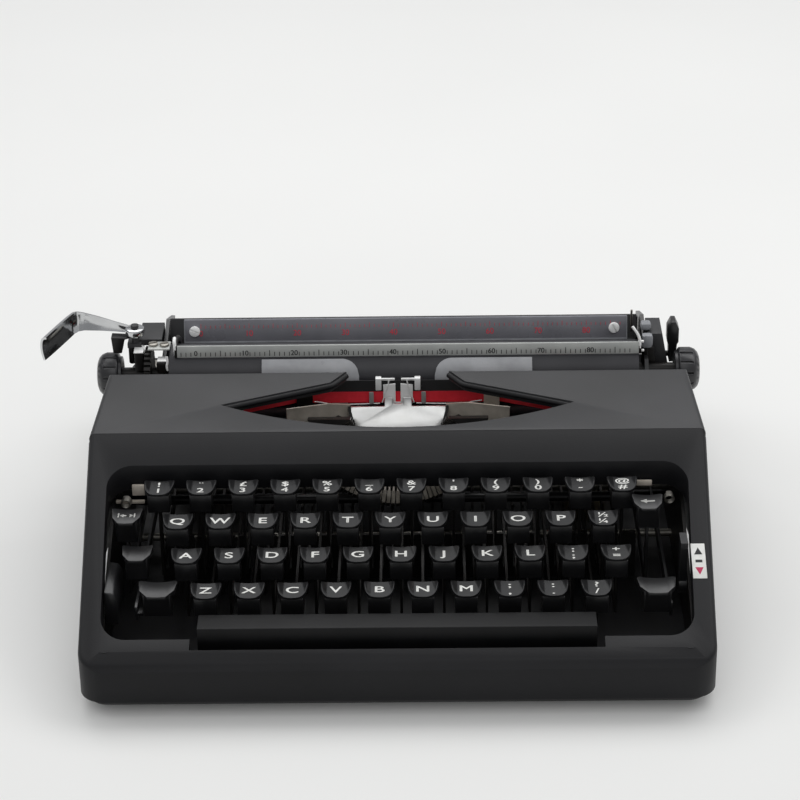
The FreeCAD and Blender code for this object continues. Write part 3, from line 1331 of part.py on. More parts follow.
def make_carriage_ends():
    front = "(platen_y + 3)"
    back = "(platen_y + end_cover_back)"
    room_y = (front + " + end_cover_wall", back + " - end_cover_wall")
    left = subtract("cover_left", box("cover_left_block", ("left_cover_x", "carriage_left"),
                                      (front, back), ("end_cover_top - 10.5", "end_cover_top")), [
        box("cover_left_room", ("left_cover_x + end_cover_wall", "carriage_left + 1"),
            room_y, ("0", "end_cover_top - end_cover_wall")),
        box("cover_left_front", ("left_cover_x - 1", "carriage_left + 1"),
            (front + " - 1", room_y[1]), ("0", "end_cover_top - left_cover_edge"))])
    shelf_z = ("end_cover_top - left_cover_edge", "end_cover_top - left_cover_edge + 2.4")
    stud = unite("return_stud", [
        rod("return_pin", "Z", "2", (shelf_z[0], "return_low + 10.5"), ("return_x", "return_y")),
        box("return_shelf", ("return_x - 4", "left_cover_x + end_cover_wall"),
            ("return_y - 3", "return_y + 6"), shelf_z)])
    inner_x = "carriage_right + carriage_wall"
    lean_z = "release_pin_z + 1"
    right_form = prism("cover_right_block", "Y", [
        (inner_x, "platen_z - 8"), ("end_cover_x", "platen_z - 8"), ("end_cover_x", lean_z),
        ("end_cover_x - end_cover_lean", "end_cover_top"), (inner_x, "end_cover_top")],
        (front + " + 1", back))
    room_x = "end_cover_x - 1.1 * end_cover_wall"
    room = prism("cover_right_room", "Y", [
        ("carriage_right", "0"), (room_x, "0"), (room_x, lean_z),
        (room_x + " - end_cover_lean", "end_cover_top - end_cover_wall"),
        ("carriage_right", "end_cover_top - end_cover_wall")],
        (front + " + 1 + end_cover_wall", room_y[1]))
    right = subtract("cover_right", right_form, [
        room, rod("cover_right_hole", "X", "release_pin + running_fit",
                  ("end_cover_x - 5", "end_cover_x + 1"), ("release_pin_y", "release_pin_z"))])
    finish(group("end_covers", [unite("end_cover_left", [left, stud]), right]), "end_covers")

    # flat grip with a pointed top on a narrower foot
    near = "end_cover_x + air_gap"
    far = near + " + release_grip"
    blade = prism("release_blade", "Y", [
        (near + " + 1.2", "release_pin_z - 3"), (far + " - 1.2", "release_pin_z - 3"),
        (far + " - 0.8", "release_pin_z + 7"), (far, "release_pin_z + 8.5"),
        (far, "release_top - 4"), (far + " - 1.9", "release_top"), (near + " + 1.9", "release_top"),
        (near, "release_top - 4"), (near, "release_pin_z + 8.5"),
        (near + " + 0.8", "release_pin_z + 7")], ("release_pin_y - 4", "release_pin_y + 4"))
    pin = rod("release_stud", "X", "release_pin", ("end_cover_x - 3", near + " + 3"),
              ("release_pin_y", "release_pin_z"))
    finish(unite("paper_release_lever", [blade, pin]), "paper_release_lever")

    bar = box("margin_bar", ("carriage_left + carriage_wall", "carriage_right"),
              ("margin_y", "margin_y + margin_depth"), ("margin_z", "margin_z + margin_height"))
    finish(bar, "margin_rail", "carriage_left + carriage_wall", "margin_y", "margin_z")
    for name, low in (("margin_stop_left", "-119.4"), ("margin_stop_right", "118.6")):
        block = box(name + "_block", (low, low + " + stop_width"),
                    ("margin_y - 3", "margin_y + margin_depth + 3"),
                    ("margin_z - 3", "margin_z + margin_height + 6"))
        room = box(name + "_room", (low + " - 1", low + " + stop_width + 1"),
                   ("margin_y - air_gap", "margin_y + margin_depth + air_gap"),
                   ("margin_z - air_gap", "margin_z + margin_height + air_gap"))
        tab = box(name + "_tab", (low, low + " + stop_width"), ("margin_y - 3", "margin_y - 1.4"),
                  ("margin_z + margin_height + 5", "83.3"))
        finish(subtract(name, unite(name + "_solid", [block, tab]), [room]), name)


# --- drive -----------------------------------------------------------------------------

def make_drive():
    floor = "foot_height + pan_wall"
    at = ("drum_x", "drum_y")
    drum = subtract("drum_grooved", rod("drum_block", "Z", "drum_radius", ("drum_low", "drum_high"), at),
                    [rod("drum_groove", "Z", "drum_radius + 1", ("drum_high - 8", "drum_high - 3"), at),
                     rod("drum_bore", "Z", "3 + running_fit", ("0", "drum_high + 1"), at)])
    waist = rod("drum_waist", "Z", "drum_radius - 2", ("drum_high - 8.5", "drum_high - 2.5"), at)
    waist_bore = rod("drum_waist_bore", "Z", "3 + running_fit", ("0", "drum_high + 1"), at)
    finish(unite("drum_whole", [drum, subtract("drum_core", waist, [waist_bore])]),
           "mainspring_drum")

    centre = ("escape_x", "rack_y + rack_depth + pinion_radius + air_gap")
    arbor = rod("escapement_arbor", "Z", "2", ("rail_z - 9", "rail_top"), centre)
    pinion = rod("escapement_pinion", "Z", "pinion_radius", ("rail_top - 2.4", "rail_top - 0.3"), centre)
    star = rod("escapement_star", "Z", "star_radius", ("rail_z - 4", "rail_z - 2.4"), centre)
    collar = rod("escapement_collar", "Z", "4", ("rail_z - 7.5 + air_gap", "rail_z - 4"), centre)
    finish(unite("escapement_wheel", [arbor, pinion, star, collar]), "escapement_wheel")

    at = ("bell_x", "bell_y")
    shell = doc.addObject("Part::Sphere", "bell_ball")
    bind(shell, "Radius", "bell_radius")
    place(shell, at[0], at[1], floor + " + 6")
    hollow = doc.addObject("Part::Sphere", "bell_hollow")
    bind(hollow, "Radius", "bell_radius - bell_wall")
    place(hollow, at[0], at[1], floor + " + 6")
    below = box("bell_below", ("bell_x - 2 * bell_radius", "bell_x + 2 * bell_radius"),
                ("bell_y - 2 * bell_radius", "bell_y + 2 * bell_radius"), ("-20", floor + " + 6"))
    post_hole = rod("bell_hole", "Z", "2", ("0", "60"), at)
    gong = subtract("bell_gong", shell, [hollow, below, post_hole])
    post = unite("bell_post", [rod("bell_stem", "Z", "2", (floor, floor + " + 6 + bell_radius + 3"), at),
                               rod("bell_nut", "Z", "3.6", (floor + " + 6 + bell_radius",
                                                            floor + " + 6 + bell_radius + 2.4"), at)])
    finish(group("bell", [gong, post]), "bell")


def main():
    make_case()
    make_pan()
    make_chassis()
    make_comb()
    make_character_keys()
    make_space_bar()
    make_function_keys()
    make_selector()
    make_segment()
    make_typebars()
    make_ribbon_path()
    make_card_holders()
    make_carriage()
    make_ratchet()
    make_feed_rollers()
    make_return_lever()
    make_paper_guides()
    make_carriage_ends()
    make_drive()
    doc.recompute()
    for item in doc.Objects:
        if "Invalid" in item.State or "Error" in item.State:
            raise RuntimeError("%s failed: %s" % (item.Label, item.State))
    os.makedirs("parts", exist_ok=True)
    for item in parts:
        if item.Shape.isNull() or not item.Shape.isValid():
            raise RuntimeError("%s has no valid shape" % item.Label)
    for item in parts:
        item.Shape.exportStep("parts/%s.step" % item.Label)


main()
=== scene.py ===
import math

import bpy
from bpy.props import FloatProperty, FloatVectorProperty, PointerProperty
from mathutils import Matrix, Vector


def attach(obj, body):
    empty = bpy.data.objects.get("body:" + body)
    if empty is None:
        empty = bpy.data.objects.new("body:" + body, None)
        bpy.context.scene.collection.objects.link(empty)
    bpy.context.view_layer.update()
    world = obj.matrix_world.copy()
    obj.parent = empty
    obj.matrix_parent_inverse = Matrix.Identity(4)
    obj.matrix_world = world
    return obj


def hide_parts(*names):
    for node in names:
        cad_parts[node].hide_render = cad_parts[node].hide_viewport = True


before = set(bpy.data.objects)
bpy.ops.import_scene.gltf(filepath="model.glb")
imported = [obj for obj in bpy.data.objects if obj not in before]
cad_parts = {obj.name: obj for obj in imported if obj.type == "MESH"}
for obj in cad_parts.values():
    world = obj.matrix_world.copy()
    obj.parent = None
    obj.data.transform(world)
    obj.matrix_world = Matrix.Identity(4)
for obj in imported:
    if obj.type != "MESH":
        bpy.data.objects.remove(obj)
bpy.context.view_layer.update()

bl_info = {
    "name": "Portable Typewriter",
    "version": (1, 0, 0),
    "blender": (4, 5, 0),
    "location": "View3D > Sidebar > Typewriter",
    "description": "Dresses a packed portable typewriter with its keys, casing and finishes",
    "category": "Object",
}

ORIGIN = (12.45, -145.0)  # centre of the front face in the frame, in millimetres
HOME_LETTERS = ("a", "s", "d", "f", "g", "h", "j", "k", "l", "semicolon", "equals")


# --- sizes and colours that a user would change ---

def linear(code):
    """Linear colour from an sRGB hex code."""
    parts = [int(code[i:i + 2], 16) / 255 for i in (1, 3, 5)]
    return tuple(c / 12.92 if c <= 0.04045 else ((c + 0.055) / 1.055) ** 2.4
                 for c in parts) + (1.0,)


class TypewriterSizes(bpy.types.PropertyGroup):
    key_pitch: FloatProperty(
        name="Key pitch", description="Distance between two keys of a bank, in millimetres",
        default=20.3, min=15.0, max=25.0)
    cap_round: FloatProperty(
        name="Cap rounding", description="Radius on the rim of a key cap, in millimetres",
        default=0.7, min=0.1, max=1.2)
    legend_height: FloatProperty(
        name="Legend height", description="Height of a capital on a key cap, in millimetres",
        default=5.3, min=2.0, max=7.0)
    case_round: FloatProperty(
        name="Case rounding", description="Radius on the case's moulded edges, in millimetres",
        default=1.1, min=0.2, max=2.0)


class TypewriterColours(bpy.types.PropertyGroup):
    case: FloatVectorProperty(
        name="Case", description="Moulded plastic of the housing", subtype="COLOR",
        size=3, min=0.0, max=1.0, default=linear("#131315")[:3])
    keys: FloatVectorProperty(
        name="Keys", description="Moulded plastic of the keys", subtype="COLOR",
        size=3, min=0.0, max=1.0, default=linear("#131314")[:3])
    table: FloatVectorProperty(
        name="Table", description="Plain table under the machine", subtype="COLOR",
        size=3, min=0.0, max=1.0, default=(0.78, 0.78, 0.765))


# --- shaping ---

def at(x, y, z):
    """A place given in millimetres from the middle of the front face, on the table."""
    return Vector((x + ORIGIN[0], y + ORIGIN[1], z)) / 1000


def start():
    if bpy.context.mode != "OBJECT":
        bpy.ops.object.mode_set(mode="OBJECT")
    bpy.ops.object.select_all(action="DESELECT")


def pick(*pieces):
    start()
    for piece in pieces:
        piece.select_set(True)
    bpy.context.view_layer.objects.active = pieces[0]


def settle(piece, name):
    """Name a piece and put its place, turn and size into its mesh."""
    pick(piece)
    bpy.ops.object.transform_apply(location=True, rotation=True, scale=True)
    piece.name = name
    piece.data.name = name
    return piece


def modify(piece, kind, **settings):
    """Add a modifier with its settings and apply it."""
    pick(piece)
    step = piece.modifiers.new(kind.title(), kind)
    for setting, value in settings.items():
        setattr(step, setting, value)
    bpy.ops.object.modifier_apply(modifier=step.name)
    return piece


def soften(piece, radius, segments=2, angle=35.0):
    """Round the edges sharper than an angle and shade the rest smooth."""
    modify(piece, "BEVEL", width=radius / 1000, segments=segments, limit_method="ANGLE",
           angle_limit=math.radians(angle), use_clamp_overlap=True)
    return smooth(piece)


def smooth(piece, angle=40.0):
    pick(piece)
    bpy.ops.object.shade_smooth_by_angle(angle=math.radians(angle))
    return piece


def outward(piece):
    """Turn every face of a closed piece outwards."""
    pick(piece)
    bpy.ops.object.mode_set(mode="EDIT")
    bpy.ops.mesh.select_all(action="SELECT")
    bpy.ops.mesh.normals_make_consistent(inside=False)
    bpy.ops.object.mode_set(mode="OBJECT")
    return piece


def block(name, x, y, z, edge=0.0):
    """A box between pairs of places, with softened edges if asked."""
    start()
    low = at(x[0], y[0], z[0])
    high = at(x[1], y[1], z[1])
    bpy.ops.mesh.primitive_cube_add(size=1, location=(low + high) / 2)
    piece = bpy.context.object
    piece.scale = high - low
    settle(piece, name)
    return soften(piece, edge) if edge else piece


def bar(name, ends, radius, sides=24, edge=0.0):
    """A round bar between two places."""
    start()
    first, last = at(*ends[0]), at(*ends[1])
    bpy.ops.mesh.primitive_cylinder_add(
        vertices=sides, radius=radius / 1000, depth=(last - first).length,
        location=(first + last) / 2)
    piece = bpy.context.object
    piece.rotation_euler = (last - first).to_track_quat("Z", "Y").to_euler()
    settle(piece, name)
    return soften(piece, edge) if edge else smooth(piece)


def profile(name, axis, points, span, edge=0.0, segments=2):
    """An outline across an axis, pushed out along it, with softened edges if asked."""
    start()
    bpy.ops.mesh.primitive_circle_add(vertices=len(points), fill_type="NGON")
    piece = bpy.context.object
    for vertex, (across, up) in zip(piece.data.vertices, points):
        vertex.co = spot(axis, across, up, span[0])
    bpy.ops.object.mode_set(mode="EDIT")
    bpy.ops.mesh.select_all(action="SELECT")
    step = spot(axis, 0, 0, span[1]) - spot(axis, 0, 0, span[0])
    bpy.ops.mesh.extrude_region_move(TRANSFORM_OT_translate={"value": step})
    outward(piece)
    settle(piece, name)
    return soften(piece, edge, segments) if edge else smooth(piece)


def spot(axis, across, up, along):
    """A place from its two coordinates across an axis and its one along it."""
    if axis == "X":
        return at(along, across, up)
    if axis == "Y":
        return at(across, along, up)
    return at(across, up, along)


def wire(name, places, radius, bend=True):
    """A thin round wire through places."""
    start()
    bpy.ops.curve.primitive_nurbs_path_add()
    path = bpy.context.object
    path.data.splines.clear()
    spline = path.data.splines.new("NURBS" if bend else "POLY")
    spline.points.add(len(places) - 1)
    for point, place in zip(spline.points, places):
        point.co = (*at(*place), 1.0)
    spline.use_endpoint_u = True
    spline.order_u = 3
    path.data.dimensions = "3D"
    path.data.bevel_depth = radius / 1000
    path.data.bevel_resolution = 3
    path.data.use_fill_caps = True
    pick(path)
    bpy.ops.object.convert(target="MESH")
    return smooth(settle(bpy.context.object, name))


def join(name, *pieces):
    pick(*pieces)
    bpy.ops.object.join()
    return settle(bpy.context.object, name)


def twin(piece, name, move=(0, 0, 0)):
    """A copy with its own mesh, moved by millimetres."""
    pick(piece)
    bpy.ops.object.duplicate()
    made = bpy.context.object
    made.location = Vector(move) / 1000
    return settle(made, name)


def swing(piece, centre, axis, degrees):
    """Turn a finished piece about a place."""
    pivot = Matrix.Translation(at(*centre))
    turn = Matrix.Rotation(math.radians(degrees), 4, axis)
    piece.matrix_world = pivot @ turn @ pivot.inverted() @ piece.matrix_world
    return settle(piece, piece.name)


def row(piece, count, step):
    """Repeat a piece along X, a step in millimetres apart."""
    return modify(piece, "ARRAY", count=count, use_relative_offset=False,
                  use_constant_offset=True, constant_offset_displace=(step / 1000, 0, 0))


def panel(name, rows, columns, place, wall):
    """A curved sheet: place(a, b) gives the spot for shares 0 to 1 across and along it."""
    start()
    bpy.ops.mesh.primitive_grid_add(x_subdivisions=columns, y_subdivisions=rows, size=1)
    piece = bpy.context.object
    for vertex in piece.data.vertices:
        vertex.co = at(*place(vertex.co.x + 0.5, vertex.co.y + 0.5))
    settle(piece, name)
    modify(piece, "SOLIDIFY", thickness=wall / 1000, offset=0.0)
    return smooth(outward(piece))


def along(points, share):
    """The spot at a share of the way through a list of spots."""
    step = min(max(share, 0.0), 1.0) * (len(points) - 1)
    first = min(int(step), len(points) - 2)
    return [a + (b - a) * (step - first) for a, b in zip(points[first], points[first + 1])]


def cut(piece, *tools):
    """Take tools away from a piece."""
    for tool in tools:
        modify(piece, "BOOLEAN", operation="DIFFERENCE", object=tool, solver="EXACT")
        bpy.data.objects.remove(tool)
    return piece


def lettering(name, text, size, place, tilt=0.0, weight=0.0, width=1.0):
    """Flat printed characters, centred on a place; tilt stands them up, weight thickens them
    and width stretches them sideways."""
    start()
    bpy.ops.object.text_add(location=at(*place))
    piece = bpy.context.object
    piece.data.body = text
    piece.data.size = size / 1000 * 1.38
    piece.data.align_x = "CENTER"
    piece.data.align_y = "CENTER"
    piece.rotation_euler = (math.radians(tilt), 0, 0)
    piece.scale.x = width
    pick(piece)
    bpy.ops.object.convert(target="MESH")
    piece = settle(bpy.context.object, name)
    if weight:
        shifts = ((weight, 0, 0), (-weight, 0, 0), (0, 0.7 * weight, 0), (0, -0.7 * weight, 0))
        copies = [twin(piece, "stroke", shift) for shift in shifts]
        piece = join(name, piece, *copies)
    return piece


def refined(node, name, radius, angle=30.0):
    """A copy of a CAD shell with clean faces and softly rounded moulded edges."""
    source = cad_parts[node]
    pick(source)
    bpy.ops.object.duplicate()
    piece = bpy.context.object
    piece.name = name
    piece.data.materials.clear()
    bpy.ops.object.mode_set(mode="EDIT")
    bpy.ops.mesh.select_all(action="SELECT")
    bpy.ops.mesh.remove_doubles(threshold=0.000002)
    bpy.ops.mesh.dissolve_limited(angle_limit=math.radians(0.5))
    bpy.ops.mesh.select_all(action="DESELECT")
    bpy.ops.object.mode_set(mode="OBJECT")
    piece.parent = None
    soften(piece, radius, 2, angle)
    return piece


def sides(near, far):
    """The same span on the left and on the right of the middle, low end first."""
    return (-far, -near), (near, far)


def on_side(side, places):
    """Places given for the right, also for the left where side is 0."""
    return [((1 if side else -1) * place[0], *place[1:]) for place in places]


def fit(piece, body, finish_key, replaced=()):
    """Paint a piece, let it ride on a body and hide the CAD nodes it stands for."""
    if finish_key:
        piece.data.materials.clear()
        piece.data.materials.append(FINISH[finish_key])
    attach(piece, body)
    if replaced:
        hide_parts(*replaced)
    return piece


def fit_all(name, pieces, body, finish_key, replaced=()):
    """Join pieces into one and fit it."""
    return fit(join(name, *pieces), body, finish_key, replaced)


def slotted(name, ends, radius, facets, rim, slot, axis, lean):
    """The round head of a screw; slot holds the spans of the groove, turned about an axis."""
    head = bar(name, ends, radius, facets, rim)
    return cut(head, swing(block("slot_tool", *slot), ends[1], axis, lean))


# --- finishes ---

def node(tree, kind, settings=None, links=None):
    """Add a node with its settings and the outputs that feed it."""
    made = tree.nodes.new(kind)
    for name, value in (settings or {}).items():
        if isinstance(name, int) or name in made.inputs:
            made.inputs[name].default_value = value
        else:
            setattr(made, name, value)
    for name, source in (links or {}).items():
        tree.links.new(source, made.inputs[name])
    return made


def material(name, settings):
    """A named material with its shader set, ready for its pattern."""
    made = bpy.data.materials.new(name)
    made.use_nodes = True
    tree = made.node_tree
    shader = tree.nodes["Principled BSDF"]
    for socket, value in settings.items():
        shader.inputs[socket].default_value = value
    place = node(tree, "ShaderNodeTexCoord").outputs["Object"]
    return made, tree, shader, place


def mottled(tree, place, size, first, second, detail=3.0):
    """Two colours that drift into each other over patches of a size in millimetres."""
    noise = node(tree, "ShaderNodeTexNoise", {"Scale": 1000 / size, "Detail": detail},
                 {"Vector": place})
    ramp = node(tree, "ShaderNodeValToRGB", {}, {"Fac": noise.outputs["Fac"]})
    ramp.color_ramp.elements[0].position = 0.35
    ramp.color_ramp.elements[0].color = first
    ramp.color_ramp.elements[1].position = 0.65
    ramp.color_ramp.elements[1].color = second
    return ramp.outputs["Color"]


def grain(tree, place, shader, size, height, stretch=(1, 1, 1)):
    """Fine bumps of a size and height in millimetres on a shader."""
    turned = node(tree, "ShaderNodeMapping", {"Scale": stretch}, {"Vector": place})
    noise = node(tree, "ShaderNodeTexNoise", {"Scale": 1000 / size, "Detail": 2.0},
                 {"Vector": turned.outputs["Vector"]})
    bump = node(tree, "ShaderNodeBump", {"Strength": 1.0, "Distance": height / 1000},
                {"Height": noise.outputs["Fac"]})
    tree.links.new(bump.outputs["Normal"], shader.inputs["Normal"])


def gloss(tree, place, shader, size, low, high):
    """Roughness that drifts between two values, as handling and polish leave it."""
    noise = node(tree, "ShaderNodeTexNoise", {"Scale": 1000 / size, "Detail": 4.0},
                 {"Vector": place})
    spread = node(tree, "ShaderNodeMapRange", {"To Min": low, "To Max": high},
                  {"Value": noise.outputs["Fac"]})
    tree.links.new(spread.outputs["Result"], shader.inputs["Roughness"])


def shades(first, second):
    """Two hex codes as linear colours, or a colour of the panel and how far it lightens."""
    if isinstance(second, str):
        return linear(first), linear(second)
    base = getattr(bpy.context.scene.typewriter_colours, first)
    return (*base, 1.0), (*[c * second for c in base], 1.0)


def finish(name, settings, patches, bumps=None, shine=None):
    """A material from its row in the table of finishes."""
    made, tree, shader, place = material(name, settings)
    size, first, second = patches
    tree.links.new(mottled(tree, place, size, *shades(first, second)),
                   shader.inputs["Base Color"])
    if bumps:
        grain(tree, place, shader, *bumps)
    if shine:
        gloss(tree, place, shader, *shine)
    return made


def ink_upper_half(nylon):
    """Black ink above the ribbon's middle line; below it the red stays."""
    tree = nylon.node_tree
    base = tree.nodes["Principled BSDF"].inputs["Base Color"]
    place = node(tree, "ShaderNodeTexCoord").outputs["Object"]
    apart = node(tree, "ShaderNodeSeparateXYZ", {}, {"Vector": place})
    above = node(tree, "ShaderNodeMath", {"operation": "GREATER_THAN", 1: RIBBON_MIDDLE / 1000},
                 {0: apart.outputs["Z"]})
    black = mottled(tree, place, 6, linear("#0d0d0e"), linear("#161617"))
    both = node(tree, "ShaderNodeMix", {"data_type": "RGBA"},
                {"Factor": above.outputs["Value"], "A": base.links[0].from_socket, "B": black})
    tree.links.new(both.outputs["Result"], base)


# Each row: name, shader settings, colour patches (size, two colours), bumps (size, height and
# stretch) and shine (size of its patches, lowest and highest roughness), in millimetres.
METAL = {"Metallic": 1.0}
INK = {"IOR": 1.5, "Roughness": 0.55}
RIBBON_MIDDLE = 68.35
FINISHES = {
    # moulded ABS with a spark-eroded texture: a soft, broad sheen without mirror gloss;
    # its grains are about 0.3 mm, drawn at 0.9 mm so that they show
    "case": ("grained_abs", {"IOR": 1.46, "Specular IOR Level": 0.3}, (60, "case", 1.4),
             (0.9, 0.035), (35, 0.42, 0.54)),
    # the same ABS on the lid, painted lighter than the case as the sheen that light from above
    # leaves on its top
    "lid": ("dulled_abs", {"IOR": 1.48, "Specular IOR Level": 0.45},
            (45, "#2e2e2f", "#343436"), (0.9, 0.03), (30, 0.44, 0.56)),
    # injection-moulded ABS of the keys: deep black, finger-worn gloss on the dished tops
    "keys": ("polished_key_abs", {"IOR": 1.54}, (20, "keys", 1.49), (1.2, 0.008),
             (6, 0.24, 0.4)),
    # the space bar's ABS: painted darker than the keys as the shade on its top, which is rubbed to
    # a dull bloom
    "bar": ("space_bar_abs", {"IOR": 1.45, "Specular IOR Level": 0.25},
            (24, "#0c0c0d", "#121213"), (1.0, 0.012), (14, 0.3, 0.42)),
    # two-shot white plastic of the legends, very slightly yellowed and matt
    "white": ("legend_white", {"IOR": 1.5, "Roughness": 0.5}, (3, "#d9d9d4", "#e4e4e0")),
    # hard ground rubber: dark slate with a dry, even sheen and turning marks
    "platen": ("ground_rubber", {"IOR": 1.52}, (25, "#29292d", "#303034"),
               (0.8, 0.012, (1.0, 0.15, 0.15)), (18, 0.4, 0.52)),
    # moulded rubber of the feet: dead matt, with dust in the pores
    "foot": ("moulded_foot_rubber", {"IOR": 1.52, "Roughness": 0.85},
             (4, "#1b1b1b", "#262625"), (0.7, 0.05)),
    # zinc-plated and passivated sheet steel: mid grey with a faint warm cast
    "zinc": ("passivated_zinc", METAL, (9, "#9c9992", "#a9a69e"), (1.1, 0.012, (1, 4, 1)),
             (5, 0.3, 0.48)),
    # stoved black lacquer on steel: a thin even coat with a satin shine
    "lacquer": ("stoved_black_lacquer",
                {"IOR": 1.5, "Coat Weight": 0.25, "Coat Roughness": 0.25},
                (30, "#171718", "#1d1d1f"), (1.6, 0.01), (12, 0.34, 0.46)),
    # hardened, oiled steel of the typebars: grey with brown hints and blurred reflections
    "type": ("oiled_type_steel", METAL, (5, "#6f6a62", "#8d8880"), (0.9, 0.01),
             (3, 0.28, 0.42)),
    # polished chrome plate: clear reflections with a few dull finger marks
    "chrome": ("polished_chrome", METAL, (14, "#c9cacb", "#d6d7d8"), None, (8, 0.08, 0.2)),
    # woven nylon with red ink: matt and slightly fuzzy; its threads are 0.15 mm, drawn at
    # 0.6 mm so that the weave shows
    "ribbon": ("inked_nylon", {"IOR": 1.5, "Roughness": 0.75, "Sheen Weight": 0.3},
               (6, "#ea1a2e", "#f8283c"), (0.6, 0.04, (1, 1, 2))),
    # pale grey moulded plastic of the spools, satin
    "spool": ("spool_plastic", {"IOR": 1.5}, (8, "#8e8e8c", "#9b9b99"), (1.0, 0.02),
              (6, 0.35, 0.5)),
    # clear acrylic worn to a pale haze, which shows the platen darkly through it
    "haze": ("hazed_acrylic", {"IOR": 1.49, "Alpha": 0.84}, (12, "#a5a6a9", "#b7b8bb"), None,
             (10, 0.22, 0.38)),
    # smoked acrylic of the scale window: dark grey, glossy, slightly see-through
    "smoked": ("smoked_acrylic", {"IOR": 1.49, "Alpha": 0.94}, (22, "#74747a", "#808086"),
               None, (16, 0.22, 0.36)),
    # satin nickel plate, painted near white and almost without metal shine as the bright
    # reflection of the lights on it; scatters the light over it evenly
    "nickel": ("satin_nickel", {"Metallic": 0.1}, (5, "#f4f4f2", "#fbfbfa"), (0.8, 0.01),
               (4, 0.28, 0.42)),
    # polished nickel of the type guide: a clear pale metal with soft-edged reflections
    "bright": ("polished_nickel", METAL, (6, "#f0f0ed", "#f7f7f5"), (0.8, 0.008),
               (5, 0.24, 0.36)),
    # tumbled, phosphated sheet steel of the inner brackets: dull warm beige-grey
    "steel": ("phosphated_steel", {"Metallic": 0.15}, (6, "#c4bbae", "#d8cfc2"),
              (0.9, 0.03), (5, 0.42, 0.58)),
    # oil-blackened steel of levers and small mechanism: near black, dull shine
    "dark_steel": ("blackened_steel", {"Metallic": 0.4}, (7, "#151414", "#211f1d"),
                   (0.9, 0.015), (5, 0.34, 0.5)),
    # moulded knob plastic: dark slate, polished by turning fingers on its rim
    "knob": ("knob_abs", {"IOR": 1.52}, (16, "#242426", "#2c2c2f"), (1.0, 0.01),
             (8, 0.24, 0.4)),
    # anodised aluminium of the paper scale: flat grey with a faint green cast
    "scale": ("anodised_scale", {"Metallic": 0.25}, (14, "#adafac", "#babcb8"),
              (0.8, 0.008, (0.3, 1, 1)), (9, 0.38, 0.5)),
    # moulded acetal of the small lever tips: mid grey, slightly waxy
    "acetal": ("grey_acetal", {"IOR": 1.48}, (5, "#84868a", "#909296"), (0.9, 0.03),
               (4, 0.4, 0.55)),
    # pressed steel gong with a thin yellow lacquer
    "gong": ("lacquered_gong", METAL, (7, "#a08a4f", "#b79d5c"), None, (4, 0.2, 0.34)),
    # stamping foils: black on scales and label, red on the window, magenta on the label;
    # all matt, with a slightly uneven coat
    "black_ink": ("black_foil", INK, (2, "#0f0f10", "#1a1a1b")),
    "red_ink": ("red_foil", INK, (2, "#d0283c", "#dc3850")),
    "magenta_ink": ("magenta_foil", INK, (2, "#b01a4a", "#c02458")),
}
FINISH = {}

# finish of each CAD node that shows as it is
NODE_FINISH = {
    "foot": ("rubber_feet",),
    "lacquer": ("bottom_pan", "case_screws", "carriage_frame", "paper_table", "margin_rail",
                "margin_stop_left", "margin_stop_right", "ribbon_selector_lever",
                "cross_members"),
    "zinc": ("carriage_rail", "pivot_rods", "mainspring_drum", "escapement_wheel"),
    "steel": ("ribbon_brackets",),
    "dark_steel": ("side_plates", "key_comb", "type_segment", "ratchet_wheel", "platen_shaft"),
    "type": ("typebars", "typebar_h"),
    "ribbon": ("ribbon",),
    "spool": ("ribbon_spool_left", "ribbon_spool_right"),
    "platen": ("platen", "feed_rollers_front", "feed_rollers_rear"),
    "gong": ("bell",),
}


def paint_frame():
    """Give every CAD node that shows its finish."""
    for key, names in NODE_FINISH.items():
        for name in names:
            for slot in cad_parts[name].material_slots:
                slot.material = FINISH[key]


# --- keys ---

NUMBER_ROW = (("1", "!"), ("2", "¨"), ("3", "£"), ("4", "$"), ("5", "%"), ("6", "_"),
              ("7", "&"), ("8", "'"), ("9", "("), ("0", ")"), ("-", "*"), ("#", "@"))
# body, place down the slope, stagger in key pitches, and the signs from left to right
BANKS = (("number_row", 0, 0.0, NUMBER_ROW),
         ("upper_row", 1, 0.5, (*"QWERTYUIOP", ("¼", "½"))),
         ("home", 2, 0.75, (*"ASDFGHJKL", (";", ":"), ("=", "+"))),
         ("lower_row", 3, 1.25, (*"ZXCVBNM", (",", ";"), (".", ":"), ("/", "?"))))
FIRST_KEY = (-114.9, 95.8, 67.7)
BANK_DEPTH, BANK_DROP = 18.55, 7.9
DISH_RADIUS, DISH_DEPTH = 30.0, 0.9
CAP_HEIGHT = 2.2
STEM_FOOT = 12.2
# the D-shaped plan of a cap: a wide back edge and a narrower rounded nose
CAP_HALF = ((7.2, 6.0), (7.4, 5.2), (7.3, 2.5), (6.8, -1.2), (6.1, -3.6), (5.0, -5.5),
            (3.6, -6.6), (1.8, -7.0))
SMALL_SIGN, POINT_SIGN = 4.1, 4.6
STROKE = 0.16 / 5.3  # thickening of the printed strokes, as a share of their height
FUNCTION_KEYS = (("shift_keys", "shift"), ("shift_lock_key", "lock"),
                 ("backspace_key", "backspace"), ("margin_release_key", "margin_release"))
BACK_ARROW = (((3.4, -0.7), (3.4, 0.7), (-0.4, 0.7), (-0.4, -0.7)),
              ((-0.4, 2.1), (-3.6, 0.0), (-0.4, -2.1)))
DOUBLE_ARROW = (((1.6, -0.4), (1.6, 0.4), (-1.6, 0.4), (-1.6, -0.4)),
                ((1.4, 1.5), (1.4, -1.5), (3.3, 0.0)), ((-1.4, -1.5), (-1.4, 1.5), (-3.3, 0.0)),
                ((3.5, -1.9), (4.2, -1.9), (4.2, 1.9), (3.5, 1.9)),
                ((-4.2, -1.9), (-3.5, -1.9), (-3.5, 1.9), (-4.2, 1.9)))


def mirrored(half):
    """A whole outline from its right half."""
    return list(half) + [(-x, z) for x, z in reversed(half)]


